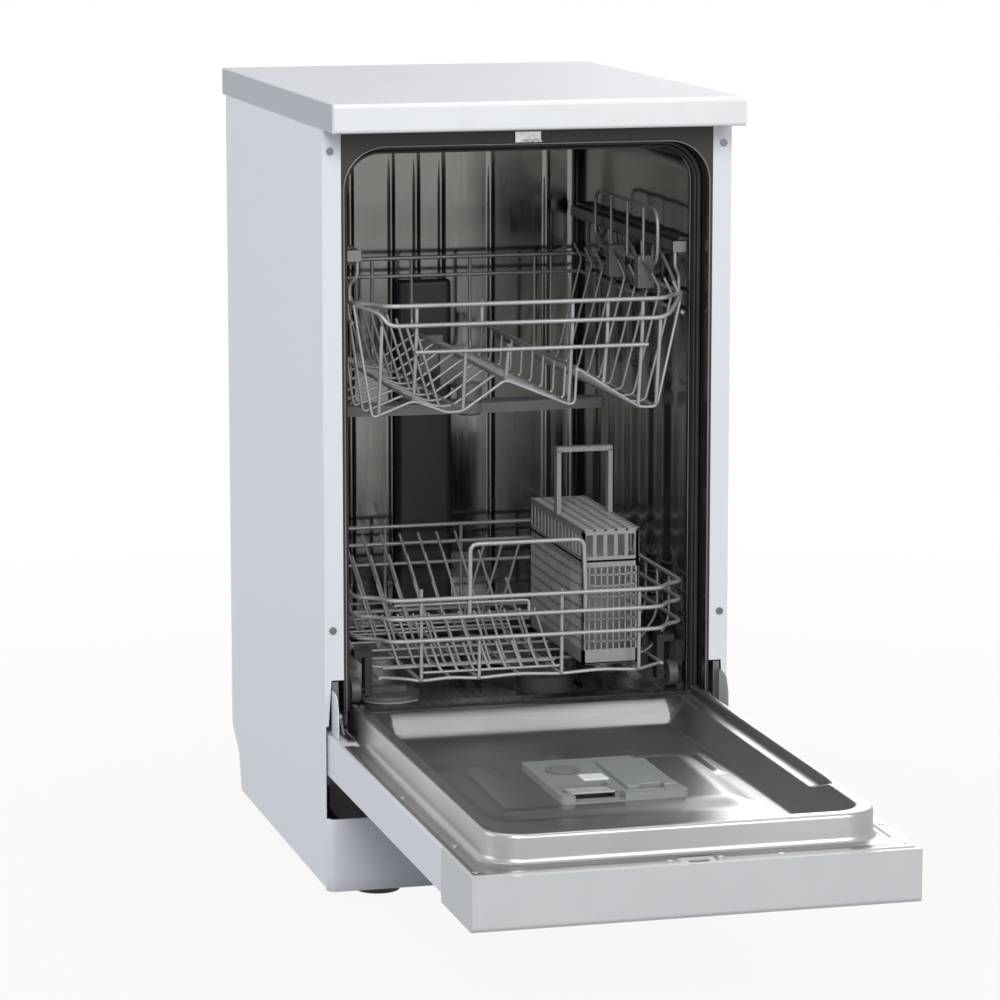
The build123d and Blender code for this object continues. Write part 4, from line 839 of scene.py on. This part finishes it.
# %% Beams for moulded lattices
def beam(build, low, high, sag=0.0, steps=1):
    """Add a beam between two corners to a mesh; sag lowers its middle."""
    axis = max(range(3), key=lambda side: high[side] - low[side])
    cut = min(0.35, 0.3 * min(high[side] - low[side] for side in range(3)))
    others = [side for side in range(3) if side != axis]
    rings = []
    for step in range(steps + 1):
        share = step / steps
        drop = sag * 4 * share * (1 - share)
        ring = []
        for u, v in ((0, cut), (cut, 0), (1, 0), (2, cut), (2, 1), (1, 2), (cut, 2), (0, 1)):
            spot = [0.0, 0.0, 0.0]
            spot[axis] = low[axis] + share * (high[axis] - low[axis])
            for side, where in zip(others, (u, v)):
                marks = {0: low[side], 1: high[side] - cut, 2: high[side]}
                spot[side] = marks.get(where, low[side] + cut)
            spot[2] -= drop
            ring.append(build.verts.new(metres(spot)))
        rings.append(ring)
    for ring, following in zip(rings, rings[1:]):
        for number in range(8):
            after = (number + 1) % 8
            build.faces.new((ring[number], ring[after], following[after], following[number]))
    build.faces.new(rings[0])
    build.faces.new(rings[-1][::-1])


print("a beam has eight sides with chamfered edges")

# %% Walls of the cutlery basket
LEFT, RIGHT, NEAR, FAR = 67.0, 131.0, 25.0, 238.0
FOOT, LID = 238.8, 388.0
build = bmesh.new()


def lattice_wall(place, start, end, along_depth, slots, bars):
    """One wall of the basket, across the machine or along its depth."""
    def put(a, b, low, high, thick=2.0, sag=0.0, steps=1):
        if along_depth:
            beam(build, (place, at(a), low), (place + thick, at(b), high), sag, steps)
        else:
            beam(build, (a, at(place), low), (b, at(place + thick), high), sag, steps)
    put(start, end, FOOT, 255)
    put(start, end, 345.5, 357.5)
    put(start, end, 351.0, 354.0, 2.6)
    put(start, end, 381, 385)
    for number in range(slots + 1):
        middle = start + 2.2 + number * (end - start - 4.4) / slots
        put(middle - 2.2, middle + 2.2, 357, 381.5)
    for number in range(bars + 1):
        middle = start + 1.4 + number * (end - start - 2.8) / bars
        put(middle - 1.0, middle + 1.0, 254.5, 346)
    for number in range(7):
        height = 264 + number * 12.2
        put(start + 1, end - 1, height, height + 1.9, 1.7, 1.6, 8)
    for post in (start, end - 4):
        put(post, post + 4, FOOT, 385, 2.2)


lattice_wall(NEAR, LEFT, RIGHT, False, 5, 9)
lattice_wall(FAR - 2, LEFT, RIGHT, False, 5, 9)
lattice_wall(LEFT, NEAR, FAR, True, 15, 28)
lattice_wall(RIGHT - 2, NEAR, FAR, True, 15, 28)
beam(build, (LEFT, at(NEAR), FOOT), (RIGHT, at(FAR), FOOT + 2))
for number in range(1, 5):
    depth = NEAR + 2 + number * 42.2
    beam(build, (LEFT + 2, at(depth), FOOT + 2), (RIGHT - 2, at(depth + 2), 383))
print("faces in walls and partitions:", len(build.faces))

# %% Lid and carrying grip of the cutlery basket
for number in range(6):
    x = LEFT + number * 12.2
    beam(build, (x, at(NEAR), LID - 3), (x + 3, at(FAR), LID))
for number in range(18):
    depth = NEAR + number * 12.353
    beam(build, (LEFT, at(depth), LID - 3), (RIGHT, at(depth + 3), LID - 0.3))
for side in (-1, 1):
    foot = 99 + side * 29.5
    beam(build, (foot - 2.5, at(127), LID), (foot + 2.5, at(139), 458))
beam(build, (67.4, at(127), 456.5), (130.6, at(139), 462))
for number in range(4):
    beam(build, (72 + number * 14, at(126.2), 457.5), (76 + number * 14, at(139.8), 461))
basket_mesh = bpy.data.meshes.new("cutlery_lattice")
bmesh.ops.recalc_face_normals(build, faces=build.faces[:])
build.to_mesh(basket_mesh)
build.free()
show("cutlery_lattice", basket_mesh, "cutlery_holder", basket_plastic,
     ("cutlery_basket",))
print("cutlery basket faces:", len(basket_mesh.polygons))

# %% [markdown]
# ### Small parts of the door
# The dispenser is a plastic moulding in the middle of the pan: a round cap, a white sight window,
# a sloping flap over the powder cup and a raised lid. At the hinge the enamelled door sheet is
# folded up into two wings. All are thin plates with a soft edge, so one helper draws a plate from
# its outline: upright walls first, then two rows that curl inwards, then a flat top.


# %% Plates with a soft edge
def plate(build, outline, low, high, soft, place):
    """Add a plate to a mesh; place turns a corner across the plate and a height into a point."""
    middle = [sum(spot[side] for spot in outline) / len(outline) for side in (0, 1)]
    rows = []
    for inset, height in ((0.0, low), (0.0, high - soft), (0.3 * soft, high - 0.3 * soft),
                          (soft, high)):
        row = []
        for spot in outline:
            reach_in = Vector((spot[0] - middle[0], spot[1] - middle[1]))
            share_in = 1 - inset / max(reach_in.length, inset + 0.01)
            row.append(build.verts.new(metres(place(middle[0] + reach_in.x * share_in,
                                                    middle[1] + reach_in.y * share_in, height))))
        rows.append(row)
    for row, following in zip(rows, rows[1:]):
        for number in range(len(row)):
            after = (number + 1) % len(row)
            build.faces.new((row[number], row[after], following[after], following[number]))
    build.faces.new(rows[0][::-1])
    build.faces.new(rows[-1])


def rounded(corners, corner):
    """A closed outline with round corners from a list of two-number corners."""
    return [(spot.x, spot.y) for spot in bent([(x, y, 0) for x, y in corners], corner, True)]


def lying(x, depth, height):
    """Place a plate flat on the open door."""
    return x, at(depth), height


def finish_plates(build, name, body, material):
    """Turn the plates in a mesh under construction into a piece."""
    bmesh.ops.recalc_face_normals(build, faces=build.faces[:])
    mesh = bpy.data.meshes.new(name)
    build.to_mesh(mesh)
    build.free()
    show(name, mesh, body, material)


print("helpers for thin plates are ready")

# %% Window, flap and raised lid of the dispenser
DISPENSER_TOP, LID_TOP = 192.6, 196.2
FLAP_SLOPE, FLAP_MIDDLE, FLAP_HEIGHT = 0.09, -336, 189.0
build = bmesh.new()
window = rounded([(-26, -284), (-1, -284), (1, -308), (-26, -308)], 2.5)
plate(build, window, DISPENSER_TOP, 194.0, 0.5, lying)
finish_plates(build, "dispenser_window", "door", white_moulding)
build = bmesh.new()
flap = rounded([(-51, -320), (-1, -320), (-1, -352), (-51, -352)], 3.0)
plate(build, flap, 0.0, 1.6, 0.5,
      lambda x, depth, lift: (x, at(depth), FLAP_HEIGHT + lift - FLAP_SLOPE * (depth - FLAP_MIDDLE)))
finish_plates(build, "dispenser_flap", "door", pale_grey_moulding)
build = bmesh.new()
lid_outline = rounded([(6.2, -238), (57.8, -238), (57.8, -352.8), (44.6, -352.8), (44.6, -345),
                       (19.4, -345), (19.4, -352.8), (6.2, -352.8)], 2.0)
plate(build, lid_outline, DISPENSER_TOP, LID_TOP, 1.0, lying)
for depth in (-330, -322):
    ridge = [(22, depth - 1.2), (42, depth - 1.2), (42, depth + 1.2), (22, depth + 1.2)]
    plate(build, rounded(ridge, 1.0), 195.6, 196.6, 0.5, lying)
finish_plates(build, "dispenser_lid_cover", "detergent_lid", dispenser_moulding)
print("dispenser details added")

# %% Wings of the door sheet beside the hinge
WING_IN, WING_OUT = 216.0, 216.9
build = bmesh.new()
wing = rounded([(2.5, 184), (2.5, 231), (-12, 231.5), (-24, 228), (-31, 214), (-31, 184)], 4.0)
for side in (-1, 1):
    plate(build, wing, WING_IN, WING_OUT, 0.3,
          lambda depth, height, x, side=side: (side * x, at(depth), height))
finish_plates(build, "door_wings", "door", door_enamel)
print("door wings added")

# %% [markdown]
# ### The kick panel
# Under the door the white sheet of the left side runs round two corners to the right side. It is
# one folded sheet. An outline seen from above, repeated at a few heights, draws it; the last rows
# fold over the top edge into a narrow hem.

# %% Kick panel
KICK_FACE, KICK_CORNER, KICK_HALF = -9.0, 9.5, 223.9
KICK_LOW, KICK_HIGH = 12.4, 91.7


def kick_line(inset, height):
    """The outline of the folded panel at one height, drawn in by an inset."""
    radius = KICK_CORNER - inset
    turn = [(KICK_HALF - KICK_CORNER + radius * math.cos(math.radians(-a)),
             KICK_FACE + KICK_CORNER + radius * math.sin(math.radians(-a)), height)
            for a in range(0, 91, 9)]
    right = [(KICK_HALF - inset, 1.8, height)] + turn
    front = [(x, KICK_FACE + inset, height) for x in (140, 70, 0, -70, -140)]
    left = [(-x, depth, z) for x, depth, z in reversed(right)]
    return [(x, at(depth), z) for x, depth, z in right + front + left]


stations = ((0.9, KICK_LOW + 0.6), (0.4, KICK_LOW + 0.1), (0.0, KICK_LOW + 0.5), (0.0, 30), (0.0, 50),
            (0.0, 70), (0.0, KICK_HIGH - 1.2), (0.35, KICK_HIGH - 0.35), (1.2, KICK_HIGH),
            (4.0, KICK_HIGH), (4.2, KICK_HIGH - 6))
rows = [kick_line(inset, height) for inset, height in stations]
show("kick_panel", skin("kick_panel", rows), "cabinet", white_enamel, ("kickplate",))
print("kick panel outlines:", len(rows))

# %% [markdown]
# ## Carry the solids over
# Many solids already have the right shape. They get a finish and a small rounding along their
# edges, because no sheet or moulding has a knife edge and it is the rounding that catches the
# light. The corners of imported meshes are split, so a weld comes before the bevel, and weighted
# normals after it keep the flat faces flat. Thin sheet with small holes keeps its own normals.


# %% Give each solid its finish
def dress(name, material, rounding):
    """Put a finish on a solid and round its edges by so many millimetres."""
    solid = nodes[name]
    solid.data.materials.clear()
    solid.data.materials.append(material)
    if rounding:
        weld = solid.modifiers.new("weld", "WELD")
        weld.merge_threshold = 0.00001
        bevel = solid.modifiers.new("rounded_edges", "BEVEL")
        bevel.width = rounding * 0.001
        bevel.segments = 2
        bevel.limit_method = "ANGLE"
        bevel.angle_limit = math.radians(40)
        even = solid.modifiers.new("even_shading", "WEIGHTED_NORMAL")
        even.weight = 100


finish_of = {
    "worktop": (white_laminate, 0.8), "worktop_front_edge": (white_moulding, 0),
    "side_panel_left": (white_enamel, 0), "side_panel_right": (white_enamel, 0),
    "rear_panel": (rear_sheet, 0), "base_tray": (black_moulding, 0.8),
    "kickplate": (white_enamel, 0.6), "mouth_frame": (black_moulding, 0.3),
    "latch_striker": (plated_steel, 0.3), "cabinet_screws": (hinge_steel, 0),
    "tub_shell": (tub_steel_painted_dark, 0), "tub_floor": (floor_steel, 0),
    "door_gasket": (black_rubber, 0), "lower_door_seal": (black_rubber, 0),
    "feed_duct": (dark_moulding, 1.0), "sump": (dark_moulding, 0.5),
    "lower_spray_arm": (slate_moulding, 0.8), "upper_spray_arm": (mid_moulding, 0.8),
    "filter_cup": (slate_moulding, 0.5), "salt_cap": (slate_moulding, 0.8),
    "water_softener": (pale_moulding, 1.5), "circulation_pump": (dark_moulding, 1.0),
    "drain_pump": (dark_moulding, 1.0), "inlet_valve": (pale_moulding, 0.8),
    "terminal_box": (black_moulding, 1.0), "air_break": (pale_moulding, 2.0),
    "upper_rails": (dark_moulding, 0.5), "basket_slides": (hinge_steel, 0.4),
    "hinge_brackets": (hinge_steel, 0.4), "hinge_arm_left": (hinge_steel, 0.4),
    "hinge_arm_right": (hinge_steel, 0.4), "door_outer_panel": (door_enamel, 0.5),
    "control_panel": (fascia_moulding, 0.8), "display_window": (black_moulding, 0.3),
    "button_programme": (grey_moulding, 0), "button_start": (grey_moulding, 0),
    "button_power": (grey_moulding, 0), "latch_body": (black_moulding, 0.5),
    "latch_hook": (plated_steel, 0.3), "door_liner": (liner_steel, 0.8),
    "door_screws": (plated_steel, 0.4), "dispenser_body": (dispenser_moulding, 2.2),
    "dispenser_lid": (dispenser_moulding, 0.8), "dispenser_latch": (grey_moulding, 0.5),
    "rinse_aid_cap": (mid_moulding, 0.6), "upper_basket": (grey_wire, 0),
    "upper_feed_pipe": (mid_moulding, 0.8), "cup_shelf": (grey_wire, 0),
    "shelf_clips": (mid_moulding, 0.8), "lower_basket": (grey_wire, 0),
    "wheel_brackets": (black_moulding, 0.8), "cutlery_basket": (grey_moulding, 0.4),
}
CORNERS = ("front_left", "front_right", "rear_left", "rear_right")
finish_of.update({"foot_" + corner: (black_moulding, 0.5) for corner in CORNERS})
finish_of.update({"wheel_" + corner: (slate_moulding, 0) for corner in CORNERS})
for name, (material, rounding) in finish_of.items():
    dress(name, material, rounding)
print("solids dressed:", len(finish_of), "of", len(nodes))
